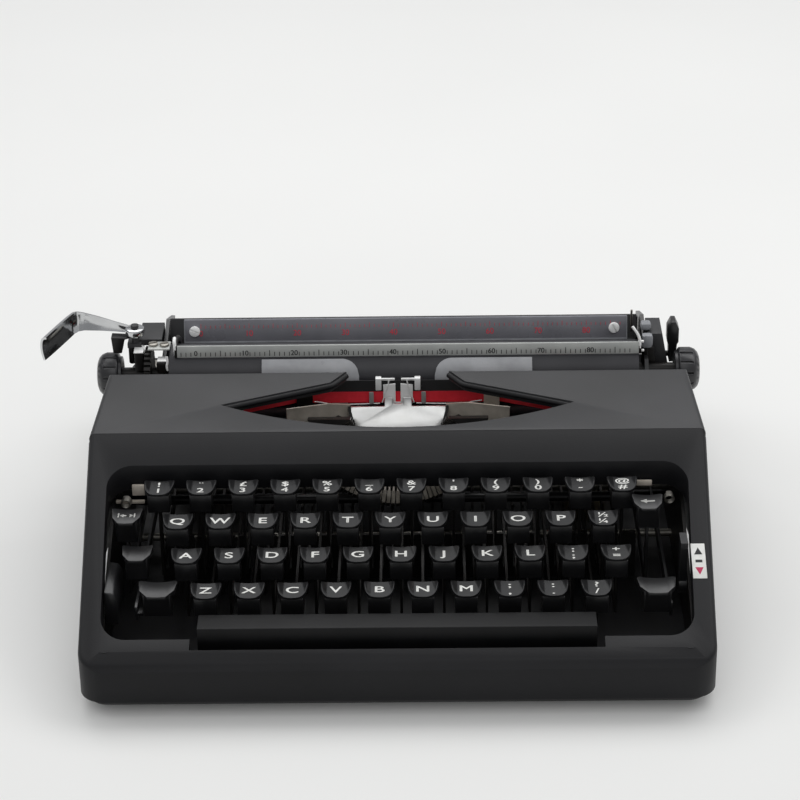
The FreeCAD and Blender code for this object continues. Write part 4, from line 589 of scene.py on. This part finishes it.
def key_cap(name):
    """A dished cap on a narrower tapering stem, with the middle of its top at the origin."""
    rounding = bpy.context.scene.typewriter_sizes.cap_round
    top = profile("cap_top", "Z", mirrored(CAP_HALF), (-CAP_HEIGHT, 0.0), rounding, 3)
    centre = DISH_RADIUS - DISH_DEPTH
    cut(top, bar("dish_tool", ((0, -30, centre), (0, 30, centre)), DISH_RADIUS, 96))
    stem = profile("cap_stem", "X", [(-5.6, -2.4), (3.8, -2.4), (3.4, -STEM_FOOT),
                                     (-5.0, -STEM_FOOT)], (-5.3, 5.3), 0.5, 2)
    return smooth(join(name, top, stem), 50)


def key_lever(name, x, y, z):
    """A flat lever from its eye at the back to the foot of the key's stem."""
    foot = z - STEM_FOOT
    points = [(176.5, 22.0), (174.5, 25.9), (172.0, 26.5), (167.5, 25.0), (y + 3, 25.0),
              (y + 3, foot), (y - 3, foot), (y - 3, 19.0), (167.5, 19.0), (172.0, 17.5),
              (174.5, 18.1)]
    return profile(name, "X", points, (x - 0.6, x + 0.6))


def dished(piece, x, z):
    """Let flat lettering follow the hollow of the cap below it."""
    for vertex in piece.data.vertices:
        off = vertex.co.x * 1000 - ORIGIN[0] - x
        hollow = DISH_RADIUS - DISH_DEPTH - math.sqrt(DISH_RADIUS ** 2 - off ** 2)
        vertex.co.z = (z + hollow + 0.09) / 1000
    return piece


def legend(name, text, x, y, z, size, shift=0.0):
    piece = lettering(name, text, size, (x, y + shift, z), weight=STROKE * size, width=1.25)
    return dished(piece, x, z)


def two_legends(name, upper, lower, place, size):
    """The shifted sign at the back of the cap and the plain one in front of it."""
    return join(name, legend(name + "_upper", upper, *place, size, 2.3),
                legend(name + "_lower", lower, *place, size, -3.4))


def bank_place(step, stagger, i):
    """The middle of a cap's top."""
    pitch = bpy.context.scene.typewriter_sizes.key_pitch
    x, y, z = FIRST_KEY
    return x + (stagger + i) * pitch, y - step * BANK_DEPTH, z - step * BANK_DROP


class TYPEWRITER_OT_keys(bpy.types.Operator):
    """Make the dished key caps with their stems, levers and legends"""
    bl_idname = "typewriter.keys"
    bl_label = "Keys"

    def execute(self, context):
        model = key_cap("cap_model")
        model.data.materials.append(FINISH["keys"])
        for bank, step, stagger, signs in BANKS:
            keys = [self.key(model, "%s_cap_%d" % (bank, i), bank_place(step, stagger, i), sign)
                    for i, sign in enumerate(signs)]
            if bank == "home":
                for letter, (cap, mark) in zip(HOME_LETTERS, keys):
                    cap.name = "cap_" + letter
                    mark.name = "legend_" + letter
                    fit(cap, "letter_" + letter, None, ("key_" + letter,))
                    fit(mark, "letter_" + letter, "white")
                continue
            caps, marks = zip(*keys)
            fit_all(bank + "_caps", caps, bank, None, (bank + "_keys",))
            fit_all(bank + "_legends", marks, bank, "white")
        bpy.data.objects.remove(model)
        self.function_keys()
        # the space bar's finish is painted darker than the keys, as shade on its top
        bar_top = refined("space_bar", "space_bar_moulding", 1.6)
        fit(bar_top, "bar", "bar", ("space_bar",))
        return {"FINISHED"}

    def key(self, model, name, place, sign):
        """A cap on its lever, and what is printed on the cap."""
        cap = twin(model, name, place)
        lever = key_lever(name + "_lever", *place)
        lever.data.materials.append(FINISH["dark_steel"])
        if isinstance(sign, tuple):
            size = POINT_SIGN if sign[0] in ",.;:" else SMALL_SIGN
            mark = two_legends(name + "_legend", sign[1], sign[0], place, size)
        else:
            height = bpy.context.scene.typewriter_sizes.legend_height
            mark = legend(name + "_legend", sign, *place, height, -0.6)
        return join(name, cap, lever), mark

    def function_keys(self):
        """Copies of the solid keys with rounded rims, and the arrows on two of them."""
        for cad_node, body in FUNCTION_KEYS:
            fit(refined(cad_node, body + "_key", 0.7), body, "keys", (cad_node,))
        for body, place, shapes in (("margin_release", (-129.3, 80.5, 61.0), DOUBLE_ARROW),
                                    ("backspace", (119.6, 82.2, 65.5), BACK_ARROW)):
            fit(self.sign(body + "_mark", *place, shapes), body, "white")

    def sign(self, name, x, y, z, shapes):
        """Flat shapes printed on a hollow cap."""
        parts = []
        for outline in shapes:
            spots = [(x + a, y + b) for a, b in outline]
            parts.append(profile(name, "Z", spots, (z, z + 0.1)))
        return dished(join(name, *parts), x, z)


class TYPEWRITER_OT_casing(bpy.types.Operator):
    """Round the moulded edges of the housing and the ribbon cover"""
    bl_idname = "typewriter.casing"
    bl_label = "Casing"

    def execute(self, context):
        radius = context.scene.typewriter_sizes.case_round
        shell = refined("main_housing", "housing_shell", radius)
        fit(shell, "case", "case", ("main_housing",))
        # the ribbon cover takes the lid finish, whose lighter colour is painted sheen
        lid = refined("ribbon_cover", "cover_shell", radius * 0.7)
        fit(lid, "cover", "lid", ("ribbon_cover",))
        for side, name in ((-1, "left"), (1, "right")):
            places = [(side * x, y, z) for x, y, z in LIP_LINE]
            fit(wire("cover_lip_" + name, places, 1.5), "cover", "case")
        self.label()
        self.well()
        return {"FINISHED"}

    def label(self):
        """White plate with the marks of the ribbon colours."""
        plate = profile("selector_label", "X", slope_slab(43.4, 61.6, 0.02, 0.3),
                        (138.3, 144.9), 0.12)
        fit(plate, "case", "white")
        dash = profile("label_dash", "X", slope_slab(51.6, 53.0, 0.3, 0.36), (140.0, 143.2))
        up = self.mark("label_up", ((139.7, 55.8), (143.5, 55.8), (141.6, 59.4)))
        fit_all("label_black_marks", (dash, up), "case", "black_ink")
        down = self.mark("label_down", ((139.7, 49.0), (141.6, 45.2), (143.5, 49.0)))
        fit(down, "case", "magenta_ink")

    def mark(self, name, corners):
        """A thin printed shape laid on the slope of the label."""
        made = profile(name, "Z", corners, (0.0, 0.06))
        for vertex in made.data.vertices:
            y = vertex.co.y * 1000 - ORIGIN[1]
            vertex.co.z += (slope_height(y) + 0.33) / 1000
        return made

    def well(self):
        """Small brackets, springs and the stop block that show beside the keys."""
        steel = [block("well_part", *spans) for spans in (
            ((-137.2, -123.2), (104.0, 105.6), (53.0, 54.7), 0.3),
            ((-129.0, -123.0), (104.6, 106.2), (57.2, 63.0), 0.4),
            ((109.0, 123.5), (104.6, 106.2), (60.2, 63.0), 0.4))]
        fit_all("well_brackets", steel, "case", "steel")
        coils = []
        for side in (-1, 1):
            turns = [(side * 131.9 + 2.4 * math.cos(i * 0.7), 100.0 + i * 0.11,
                      55.0 + 2.4 * math.sin(i * 0.7)) for i in range(40)]
            coils.append(wire("well_spring", turns, 0.35))
        fit_all("well_springs", coils, "case", "zinc")
        stop = profile("stop_block", "Y", [
            (-137.4, 24.0), (-131.4, 24.0), (-131.4, 38.0), (-133.0, 41.0), (-137.4, 42.0)],
            (41.0, 69.0), 0.8)
        fit(stop, "case", "lacquer")


# rear edge of the opening in the ribbon cover, from its tip to its middle
LIP_LINE = ((87.0, 150.2, 80.1), (83.8, 151.7, 80.2), (60.0, 160.9, 80.8), (36.3, 170.0, 81.3),
            (32.8, 171.8, 81.4), (30.3, 175.2, 81.6), (26.0, 181.6, 81.9))


def slope_height(y):
    """Height of the sloping front of the case at a depth."""
    return 28.0 + (y - 3.5) * (80.5 - 28.0) / (125.0 - 3.5)


def slope_slab(front, back, low, high):
    """Side outline of a thin slab lying on the sloping front."""
    return [(front, slope_height(front) + low), (back, slope_height(back) + low),
            (back, slope_height(back) + high), (front, slope_height(front) + high)]


# --- type basket ---

PLATEN_Y, PLATEN_Z = 210.0, 69.5
HOLDER_RADIUS = 16.65
GUIDE_TOP, GUIDE_LEAN = 61.6, 0.75
GUIDE_HALF = ((24.4, GUIDE_TOP), (24.2, 59.6), (23.2, 56.6), (21.6, 53.4), (19.2, 50.0),
              (16.0, 46.4))
GUIDE_NOTCH = ((7.0, GUIDE_TOP), (7.0, 66.6), (2.6, 66.6), (2.6, 63.0))
VIBRATOR_HALF = ((1.3, 62.6), (1.3, 73.2), (7.6, 72.6), (7.6, 65.5), (6.4, 63.0), (6.4, 46.3))
# ear, front, finger and bar of the vibrator: nearest and furthest from the middle, depth,
# height and rounding
VIBRATOR_PARTS = ((8.5, 11.5, (188.6, 191.6), (75.4, 76.5), 0.3),
                  (8.5, 11.5, (188.4, 189.6), (69.6, 76.4), 0.5),
                  (8.5, 11.5, (190.8, 191.7), (65.0, 76.5), 0.3),
                  (1.6, 9.0, (188.8, 189.8), (75.1, 76.4), 0.3))
VIBRATOR_WIRE = ((8.2, 188.7, 62.6), (6.6, 188.6, 67.5), (5.0, 188.6, 73.2), (4.6, 188.7, 75.6))
# distance from the middle, depth, lower and upper edge of the folded bracket
BRACKET_LINE = ((57, 178.6, 46.5, 64.8), (36, 186.2, 46.5, 63.6), (24.6, 188.3, 47.5, 62.0))
RIBBON_WIRE = ((43.0, 187.9, 63.9), (38.5, 188.3, 63.2), (35.0, 188.6, 61.8),
               (22.0, 188.7, 61.7), (9.4, 188.7, 62.2))
SPOOL_X, SPOOL_Y, SPOOL_TEETH = 98.0, 154.0, 36


class TYPEWRITER_OT_basket(bpy.types.Operator):
    """Make the ribbon guides, the type guide, the vibrator and the card holders"""
    bl_idname = "typewriter.basket"
    bl_label = "Type basket"

    def execute(self, context):
        self.guide()
        self.vibrator()
        self.brackets()
        self.ribbon_line()
        for name, span, inner in (("left", (-70.0, -20.0), 1), ("right", (19.0, 69.0), -1)):
            holder = self.card_holder("card_holder_" + name, span, inner)
            fit(holder, "case", "haze", ("card_holders",) if name == "left" else ())
        self.spools()
        return {"FINISHED"}

    def guide(self):
        """Pale half disc with the notch for the type, in front of a dark backing."""
        outline = mirrored(GUIDE_HALF[::-1] + GUIDE_NOTCH)
        plate = self.lean(profile("guide_plate", "Y", outline, (186.0, 187.2), 0.3))
        fit(plate, "case", "bright", ("type_guide",))
        rim = [(x + 1.5, z - 0.3) for x, z in GUIDE_HALF[::-1]]
        backing = profile("guide_backing", "Y", mirrored(rim), (187.3, 187.9), 0.2)
        fit(self.lean(backing), "case", "dark_steel")

    def lean(self, piece):
        """Lean the lower part forwards, behind the path of the typebars."""
        for vertex in piece.data.vertices:
            vertex.co.y -= GUIDE_LEAN * max(0.0, GUIDE_TOP / 1000 - vertex.co.z)
        return piece

    def vibrator(self):
        """Pale plate with two ears that hold the ribbon and let the type through."""
        # the vibrator's near-white nickel finish is painted reflection
        parts = [profile("vibrator_plate", "Y", mirrored(VIBRATOR_HALF), (189.0, 189.9), 0.2)]
        for side in (0, 1):
            parts += [block("vibrator_part", sides(near, far)[side], *spans)
                      for near, far, *spans in VIBRATOR_PARTS]
            parts.append(wire("vibrator_wire", on_side(side, VIBRATOR_WIRE), 0.35))
        fit_all("ribbon_vibrator_plate", parts, "vibrator", "nickel", ("ribbon_vibrator",))

    def brackets(self):
        """Folded beige plates beside the half disc, with a bolt in each."""
        parts, bolts = [], []
        for side in (0, 1):
            line = on_side(side, BRACKET_LINE)

            def place(a, b, line=line):
                x, y, low, high = along(line, a)
                return x, y, low + (high - low) * b

            parts.append(panel("basket_bracket", 6, 12, place, 1.0))
            ends = on_side(side, ((31.0, 187.4, 53.4), (31.0, 183.8, 54.2)))
            bolts.append(bar("basket_bolt", ends, 3.0, 6, 0.4))
        fit_all("basket_brackets", parts, "case", "steel")
        fit_all("basket_bolts", bolts, "case", "dark_steel")

    def ribbon_line(self):
        """Clips and thin wires on the lower edge of the ribbon."""
        clips = [block("ribbon_clip", (x, x + 2.4), (188.3, 189.2), (61.8, 68.8), 0.5)
                 for x in (-14.9, 11.9)]
        fit_all("ribbon_clips", clips, "case", "spool")
        wires = [wire("ribbon_wire", on_side(side, RIBBON_WIRE), 0.3) for side in (0, 1)]
        fit_all("ribbon_wires", wires, "case", "nickel")
        cover = block("left_guide_cover", (-52.2, -43.8), (187.9, 188.5), (60.5, 76.6), 0.3)
        fit(cover, "case", "dark_steel")

    def card_holder(self, name, span, inner):
        """Clear leaf curved round the platen, with its inner corner rounded off."""
        corner = 9.0
        straight = PLATEN_Z - 64.0
        full = straight + HOLDER_RADIUS * math.radians(51)

        def place(a, b):
            x = span[0] + (span[1] - span[0]) * a
            end = span[1] if inner > 0 else span[0]
            off = max(0.0, corner - abs(end - x))
            length = full - corner + math.sqrt(max(corner ** 2 - off ** 2, 0.0))
            run = length * b
            if run < straight:
                return x, PLATEN_Y - HOLDER_RADIUS, 64.0 + run
            turn = (run - straight) / HOLDER_RADIUS
            return (x, PLATEN_Y - HOLDER_RADIUS * math.cos(turn),
                    PLATEN_Z + HOLDER_RADIUS * math.sin(turn))

        leaf = panel(name, 22, 60, place, 0.8)
        foot = (span[1] - 14, span[1] - 6) if inner > 0 else (span[0] + 6, span[0] + 14)
        leg = block(name + "_leg", foot, (192.9, 193.8), (46.0, 65.0), 0.3)
        return join(name, leaf, leg)

    def spools(self):
        """Ribbon spools with a toothed upper flange."""
        for name, x, y in (("left", -SPOOL_X, SPOOL_Y), ("right", SPOOL_X, SPOOL_Y)):
            parts = [bar("spool_disc", ((x, y, 75.0), (x, y, 75.8)), 19.6, 48, 0.2),
                     bar("spool_floor", ((x, y, 60.9), (x, y, 61.7)), 21.0, 48, 0.2),
                     bar("spool_hub", ((x, y, 60.9), (x, y, 75.8)), 7.0, 32)]
            # each is bored alone, the discs wider, because a cut through the three joined
            # leaves stray faces where they overlap
            for part, radius in zip(parts, (6.0, 6.0, 2.05)):
                cut(part, bar("bore_tool", ((x, y, 55), (x, y, 80)), radius, 24))
            for i in range(SPOOL_TEETH):
                tooth = block("spool_tooth", (x + 19.0, x + 21.0), (y - 0.9, y + 0.9),
                              (74.6, 75.8), 0.35)
                parts.append(swing(tooth, (x, y, 0), "Z", i * 360 / SPOOL_TEETH))
            spool = join("spool_%s_moulding" % name, *parts)
            fit(smooth(spool), "spool_" + name, "spool", ("ribbon_spool_" + name,))


# --- carriage ---

BAIL_ARM = ((200.9, 83.2), (202.3, 89.2), (206.0, 89.6), (212.0, 89.6), (218.0, 88.0),
            (224.0, 84.4), (231.0, 80.0), (232.0, 75.0), (227.0, 74.0), (226.0, 78.0),
            (221.0, 82.9), (215.0, 86.1), (210.0, 87.0), (205.5, 86.0), (201.9, 83.2))
SCALE_ZERO, TEN_UNITS = -104.0, 25.38
WINDOW_NUMBERS, BAIL_NUMBERS = 80.0, 85.3
# the return lever's strip: its place, and its lower and upper edge
LEVER_LINE = (
    (-181.0, 194.2, 86.0, 99.6), (-178.4, 200.6, 86.0, 99.9), (-175.0, 209.4, 86.0, 100.0),
    (-171.6, 218.0, 86.2, 100.0), (-169.4, 222.4, 86.8, 100.0), (-167.0, 223.6, 87.8, 100.0),
    (-163.4, 222.9, 88.8, 99.6), (-155.0, 220.0, 90.0, 98.4), (-146.0, 216.8, 91.0, 96.6),
    (-136.0, 213.2, 91.6, 95.0), (-131.2, 211.6, 93.6, 94.6))


class TYPEWRITER_OT_carriage(bpy.types.Operator):
    """Make the scales, the bail, the knobs, the levers and both ends of the carriage"""
    bl_idname = "typewriter.carriage"
    bl_label = "Carriage"

    def execute(self, context):
        self.window()
        self.bail()
        self.knobs()
        self.return_lever()
        self.left_end()
        self.right_end()
        return {"FINISHED"}

    def window(self):
        """Smoked window with red numbers, its ticks and two slotted screws."""
        pane = refined("scale_window", "window_pane", 0.3)
        fit(pane, "carriage", "smoked", ("scale_window",))
        # pale grey strips along the bottom and both ends of the pane: painted highlights where its
        # edges catch the light
        edges = [profile("window_line", "X", front_slab(window_depth, low, high, 0.0, proud), span)
                 for low, high, proud, span in ((75.5, 76.2, 0.25, (-112.8, 120.5)),
                                                (75.6, 86.6, 0.2, (-112.9, -112.4)),
                                                (75.6, 86.6, 0.2, (120.1, 120.6)))]
        fit_all("window_edge_lines", edges, "carriage", "acetal")
        marks = []
        for top, proud, count, step in ((84.0, 0.12, 88, TEN_UNITS / 10),
                                        (84.8, 0.13, 18, TEN_UNITS / 2)):
            tick = profile("window_tick", "X", front_slab(window_depth, 82.6, top, 0.02, proud),
                           (SCALE_ZERO - 0.1, SCALE_ZERO + 0.1))
            marks.append(row(tick, count, step))
        depth = window_depth(WINDOW_NUMBERS) - 0.12
        for i in range(9):
            place = (SCALE_ZERO + i * TEN_UNITS, depth, WINDOW_NUMBERS)
            marks.append(lettering("window_number", str(i * 10), 3.1, place, 68.5))
        fit_all("window_marks", marks, "carriage", "red_ink")
        # the near-white nickel of the screw heads is painted reflection
        heads = [slotted("window_screw", ((x, 236.4, 80.8), (x, 234.0, 81.7)), 2.85, 32, 0.6,
                         ((x - 3.2, x + 3.2), (232.5, 234.6), (81.4, 82.2)), "Y", lean)
                 for x, lean in ((-107.3, 20), (113.6, 62))]
        fit_all("window_screws", heads, "carriage", "nickel", ("scale_screws",))

    def bail(self):
        """Grey paper scale with black marks on two arms."""
        plate = profile("bail_plate", "X", [(200.9, 83.2), (201.9, 83.2), (203.3, 89.2),
                                            (202.3, 89.2)], (-113.7, 124.0), 0.3)
        fit(plate, "bail", "scale", ("paper_bail",))
        arms = []
        for low, pin in ((-115.1, (-122.4, -114.0)), (124.0, (124.2, 129.4))):
            arm = profile("bail_arm", "X", BAIL_ARM, (low, low + 1.4), 0.3)
            arms += [arm, bar("bail_pin", ((pin[0], 229, 77), (pin[1], 229, 77)), 1.5, 20, 0.3)]
        fit_all("bail_arms", arms, "bail", "dark_steel")
        marks = []
        # short ticks stand between the numbers; three more stand before the first
        for first, count in ((-3, 3), *((ten * 10 + 1, 9) for ten in range(8)), (81, 8)):
            tick = self.bail_tick(SCALE_ZERO + first * TEN_UNITS / 10, 85.9)
            marks.append(row(tick, count, TEN_UNITS / 10))
        depth = bail_depth(BAIL_NUMBERS) - 0.1
        for i in range(9):
            marks.append(self.bail_tick(SCALE_ZERO + (i + 0.5) * TEN_UNITS, 86.8))
            place = (SCALE_ZERO + i * TEN_UNITS, depth, BAIL_NUMBERS)
            marks.append(lettering("bail_number", str(i * 10), 2.7, place, 76.9, 0.06))
        fit_all("bail_marks", marks, "bail", "black_ink")
        hooks = [wire("bail_hook_left", [(-114.4, 202.4, 84.0), (-114.6, 202.6, 88.0),
                                         (-115.2, 204.0, 91.6), (-115.0, 206.6, 91.8)], 0.9),
                 wire("bail_hook_right", [(124.7, 202.0, 82.6), (124.7, 202.2, 86.5),
                                          (124.6, 203.0, 90.0), (123.2, 204.2, 93.4),
                                          (120.6, 205.2, 96.6)], 0.75),
                 block("bail_clip", (123.6, 126.6), (203.2, 204.4), (88.2, 89.4), 0.3),
                 block("bail_clip", (124.2, 126.8), (202.2, 203.4), (83.6, 84.8), 0.3)]
        fit_all("bail_hooks", hooks, "bail", "nickel")

    def bail_tick(self, x, top):
        return profile("bail_tick", "X", front_slab(bail_depth, 83.9, top, 0.01, 0.1),
                       (x - 0.17, x + 0.17))

    def knobs(self):
        """Knobs with shallow grooves along their rims."""
        piece = refined("platen_knobs", "platen_knob_pair", 0.4)
        tools = []
        for span in sides(145.8, 152.6):
            for i in range(12):
                tool = block("groove_tool", span, (PLATEN_Y - 0.45, PLATEN_Y + 0.45),
                             (PLATEN_Z + 10.5, PLATEN_Z + 12.5))
                tools.append(swing(tool, (0, PLATEN_Y, PLATEN_Z), "X", 15 + 30 * i))
        cut(piece, join("groove_tools", *tools))
        fit(smooth(piece, 30), "platen_body", "knob", ("platen_knobs",))

    def return_lever(self):
        """Bright hollowed strip with a rolled upper edge, on its stud."""

        def place(a, b):
            x, y, low, high = along(LEVER_LINE, a)
            after = along(LEVER_LINE, min(a + 0.04, 1.0))
            before = along(LEVER_LINE, max(a - 0.04, 0.0))
            run = Vector((after[0] - before[0], after[1] - before[1])).normalized()
            hollow = 1.3 * math.sin(math.pi * b) * (high - low) / 14
            roll = 2.2 * max(0.0, (b - 0.84) / 0.16) ** 1.5 * (high - low) / 14
            side = hollow - roll
            return x - run.y * side, y + run.x * side, low + (high - low) * min(b, 0.95)

        strip = panel("lever_strip", 16, 40, place, 1.2)
        hub = bar("lever_hub", ((-136.0, 213.0, 91.0), (-136.0, 213.0, 95.0)), 5.0, 32, 0.8)
        bore = bar("bore_tool", ((-136.0, 213.0, 80.0), (-136.0, 213.0, 100.0)), 2.05, 24)
        lever = join("return_lever_strip", strip, cut(hub, bore))
        fit(smooth(lever, 45), "return", "chrome", ("return_lever",))
        foot = profile("lever_foot", "Y", [(-147.4, 82.2), (-143.0, 82.2), (-141.2, 90.0),
                                           (-138.4, 90.8), (-148.2, 91.4)], (208.5, 214.5), 0.5)
        fit(foot, "return", "dark_steel")

    def left_end(self):
        # the end covers take the lid finish, whose lighter colour is painted sheen
        cover = refined("end_covers", "end_cover_pair", 0.8)
        fit(cover, "carriage", "lid", ("end_covers",))
        plate = block("left_screw_plate", (-129.0, -117.6), (203.6, 212.6), (86.1, 87.1), 0.4)
        fit(plate, "carriage", "scale")
        heads = [slotted("plate_screw", ((x, y, 87.0), (x, y, 88.3)), 2.5, 24, 0.4,
                         ((x - 3, x + 3), (y - 0.45, y + 0.45), (87.7, 89)), "Z", 24)
                 for x, y in ((-126.4, 208.4), (-120.6, 207.8))]
        fit_all("plate_screws", heads, "carriage", "zinc")
        dark = [profile("line_space_block", "Y", [(-136.2, 73.6), (-131.6, 73.6),
                                                  (-131.6, 84.4), (-136.2, 84.4)],
                        (204.5, 213.0), 0.7),
                bar("lever_post", ((-138.2, 214.6, 74.0), (-138.2, 214.6, 85.2)), 2.0, 20, 0.4),
                block("end_catch", (-124.4, -118.9), (198.6, 204.4), (75.0, 81.6), 1.2),
                block("end_rib", (-136.0, -128.2), (211.5, 213.4), (69.0, 72.0), 0.4)]
        fit_all("left_mechanism", dark, "carriage", "dark_steel")
        # near-white slabs on the tops of the dark line-space block and catch: painted highlights
        # along their upper edges; the spring with them is a real part
        light = [block("block_rim", (-136.4, -131.4), (203.9, 212.8), (84.4, 85.1), 0.25),
                 block("catch_rim", (-124.0, -118.7), (199.4, 204.8), (81.6, 82.3), 0.25),
                 wire("catch_spring", [(-118.9, 199.6, 84.6), (-118.4, 199.0, 82.0),
                                       (-119.2, 198.4, 79.6), (-118.6, 198.2, 77.4)], 0.6)]
        fit_all("left_bright_rims", light, "carriage", "nickel")

    def right_end(self):
        lever = refined("paper_release_lever", "release_lever_grip", 1.3)
        fit(lever, "release", "keys", ("paper_release_lever",))
        tips = [block("upper_tip", (125.9, 131.4), (216.4, 222.4), (88.3, 92.4), 1.5),
                block("lower_tip", (125.9, 131.8), (208.4, 213.4), (82.0, 89.6), 1.7)]
        fit_all("lever_tips", tips, "carriage", "acetal")
        stems = [block("upper_stem", (127.6, 129.4), (217.0, 222.0), (80.0, 88.6), 0.3),
                 block("lower_stem", (127.4, 129.4), (209.0, 214.4), (76.0, 83.0), 0.3),
                 profile("lower_shroud", "Y", [(126.2, 70.0), (134.0, 70.0), (132.4, 82.0),
                                               (126.6, 82.0)], (210.5, 213.6), 0.6)]
        fit_all("right_mechanism", stems, "carriage", "dark_steel")
        rod = wire("paper_wire", [(122.6, 236.4, 77.0), (122.6, 235.6, 84.0),
                                  (122.6, 235.0, 91.6)], 0.6)
        fit(rod, "carriage", "zinc")


def window_depth(z):
    """Depth of the leaning front of the scale window at a height."""
    return 233.2 + (z - 75.4) * 0.395


def bail_depth(z):
    """Depth of the leaning front of the bail at a height."""
    return 200.9 + (z - 83.2) * 0.233


def front_slab(depth, low, high, near, far):
    """Side outline of a thin slab on a leaning front."""
    return [(depth(low) - near, low), (depth(low) - far, low), (depth(high) - far, high),
            (depth(high) - near, high)]


# --- stage ---

# name, place, what it faces, size in metres and power in watts
LAMPS = (("overhead_softbox", (0.1, 0.75, 1.35), (0.0, 0.05, 0.0), (1.9, 1.0), 12),
         ("left_softbox", (-1.2, 0.1, 1.2), (0.0, 0.0, 0.05), (0.9, 0.9), 3.5),
         ("right_softbox", (1.2, 0.2, 1.2), (0.0, 0.0, 0.05), (0.9, 0.9), 4.5),
         ("front_softbox", (0.0, -1.15, 1.4), (0.0, 0.03, 0.06), (1.5, 0.9), 3.4))
WORLD_STRENGTH = 0.48
TABLE_GLOW, TABLE_MIRROR = 0.05, 0.35
FOCAL_PIXELS, FRAME_PIXELS = 2559, 800
CAMERA_PLACE = (1.0, -973, 681)
CAMERA_ROLL, CAMERA_TURN = -0.857, 0.67  # degrees


class TYPEWRITER_OT_stage(bpy.types.Operator):
    """Set the table, the soft lights and the camera"""
    bl_idname = "typewriter.stage"
    bl_label = "Stage"

    def execute(self, context):
        scene = context.scene
        start()
        bpy.ops.mesh.primitive_plane_add(size=8, location=(0, 2.5, 0))
        table = bpy.context.object
        table.name = "table"
        table.data.materials.append(self.table_top())
        for settings in LAMPS:
            self.lamp(*settings)
        self.sky(scene)
        self.camera(scene)
        scene.view_settings.view_transform = "Standard"
        return {"FINISHED"}

    def table_top(self):
        """Pale laminate that shows its own colour to the eye and keeps soft shadows."""
        made, tree, shader, place = material("laminate_table", {"Roughness": 0.6, "IOR": 1.4})
        tree.links.new(mottled(tree, place, 300, *shades("table", 1.02)),
                       shader.inputs["Base Color"])
        path = node(tree, "ShaderNodeLightPath")
        seen = node(tree, "ShaderNodeMath", {"operation": "MAXIMUM"},
                    {0: path.outputs["Is Camera Ray"], 1: path.outputs["Is Transmission Ray"]})
        mirrored = node(tree, "ShaderNodeMath", {"operation": "MULTIPLY", 1: TABLE_MIRROR},
                        {0: path.outputs["Is Glossy Ray"]})
        both = node(tree, "ShaderNodeMath", {"operation": "MAXIMUM"},
                    {0: seen.outputs["Value"], 1: mirrored.outputs["Value"]})
        glow = node(tree, "ShaderNodeMath", {"operation": "MULTIPLY", 1: TABLE_GLOW},
                    {0: both.outputs["Value"]})
        tree.links.new(glow.outputs["Value"], shader.inputs["Emission Strength"])
        shader.inputs["Emission Color"].default_value = (1.0, 1.0, 0.985, 1)
        return made

    def lamp(self, name, place, target, size, power):
        start()
        bpy.ops.object.light_add(type="AREA", location=place)
        light = bpy.context.object
        light.name = name
        light.data.shape = "RECTANGLE"
        light.data.size, light.data.size_y = size
        light.data.energy = power
        aim = Vector(target) - Vector(place)
        light.rotation_euler = aim.to_track_quat("-Z", "Y").to_euler()

    def sky(self, scene):
        world = bpy.data.worlds.new("studio")
        scene.world = world
        world.use_nodes = True
        background = world.node_tree.nodes["Background"]
        background.inputs["Color"].default_value = (0.9, 0.91, 0.93, 1)
        background.inputs["Strength"].default_value = WORLD_STRENGTH

    def camera(self, scene):
        bpy.ops.object.camera_add()
        camera = bpy.context.object
        camera.data.sensor_width = 36
        camera.data.lens = FOCAL_PIXELS * camera.data.sensor_width / FRAME_PIXELS
        forward = Vector((0, 0.883, -0.469)).normalized()
        right = Vector((1, 0, 0))
        up = right.cross(forward)
        basis = Matrix((right, up, -forward)).transposed().to_4x4()
        roll = Matrix.Rotation(math.radians(CAMERA_ROLL), 4, "Z")
        turn = Matrix.Rotation(math.radians(CAMERA_TURN), 4, "Z")
        pivot = at(0, 184, 0)
        place = Matrix.Translation(at(*CAMERA_PLACE) - pivot)
        camera.matrix_world = Matrix.Translation(pivot) @ turn @ place @ basis @ roll
        camera.data.clip_end = 50
        scene.camera = camera


class TYPEWRITER_PT_panel(bpy.types.Panel):
    """Lists the steps that dress the typewriter"""
    bl_idname = "TYPEWRITER_PT_panel"
    bl_label = "Typewriter"
    bl_space_type = "VIEW_3D"
    bl_region_type = "UI"
    bl_category = "Typewriter"

    def draw(self, context):
        for group in (context.scene.typewriter_sizes, context.scene.typewriter_colours):
            for name in group.bl_rna.properties.keys():
                if name not in ("rna_type", "name"):
                    self.layout.prop(group, name)
        for step in STEPS:
            self.layout.operator(step.bl_idname)


STEPS = (TYPEWRITER_OT_casing, TYPEWRITER_OT_keys, TYPEWRITER_OT_basket,
         TYPEWRITER_OT_carriage, TYPEWRITER_OT_stage)
CLASSES = (TypewriterSizes, TypewriterColours) + STEPS + (TYPEWRITER_PT_panel,)


def register():
    for item in CLASSES:
        bpy.utils.register_class(item)
    bpy.types.Scene.typewriter_sizes = PointerProperty(type=TypewriterSizes)
    bpy.types.Scene.typewriter_colours = PointerProperty(type=TypewriterColours)


def unregister():
    del bpy.types.Scene.typewriter_colours
    del bpy.types.Scene.typewriter_sizes
    for item in reversed(CLASSES):
        bpy.utils.unregister_class(item)


def main():
    register()
    for key, settings in FINISHES.items():
        FINISH[key] = finish(*settings)
    ink_upper_half(FINISH["ribbon"])
    paint_frame()
    bpy.ops.typewriter.casing()
    bpy.ops.typewriter.keys()
    bpy.ops.typewriter.basket()
    bpy.ops.typewriter.carriage()
    bpy.ops.typewriter.stage()


if __name__ == "__main__":
    main()
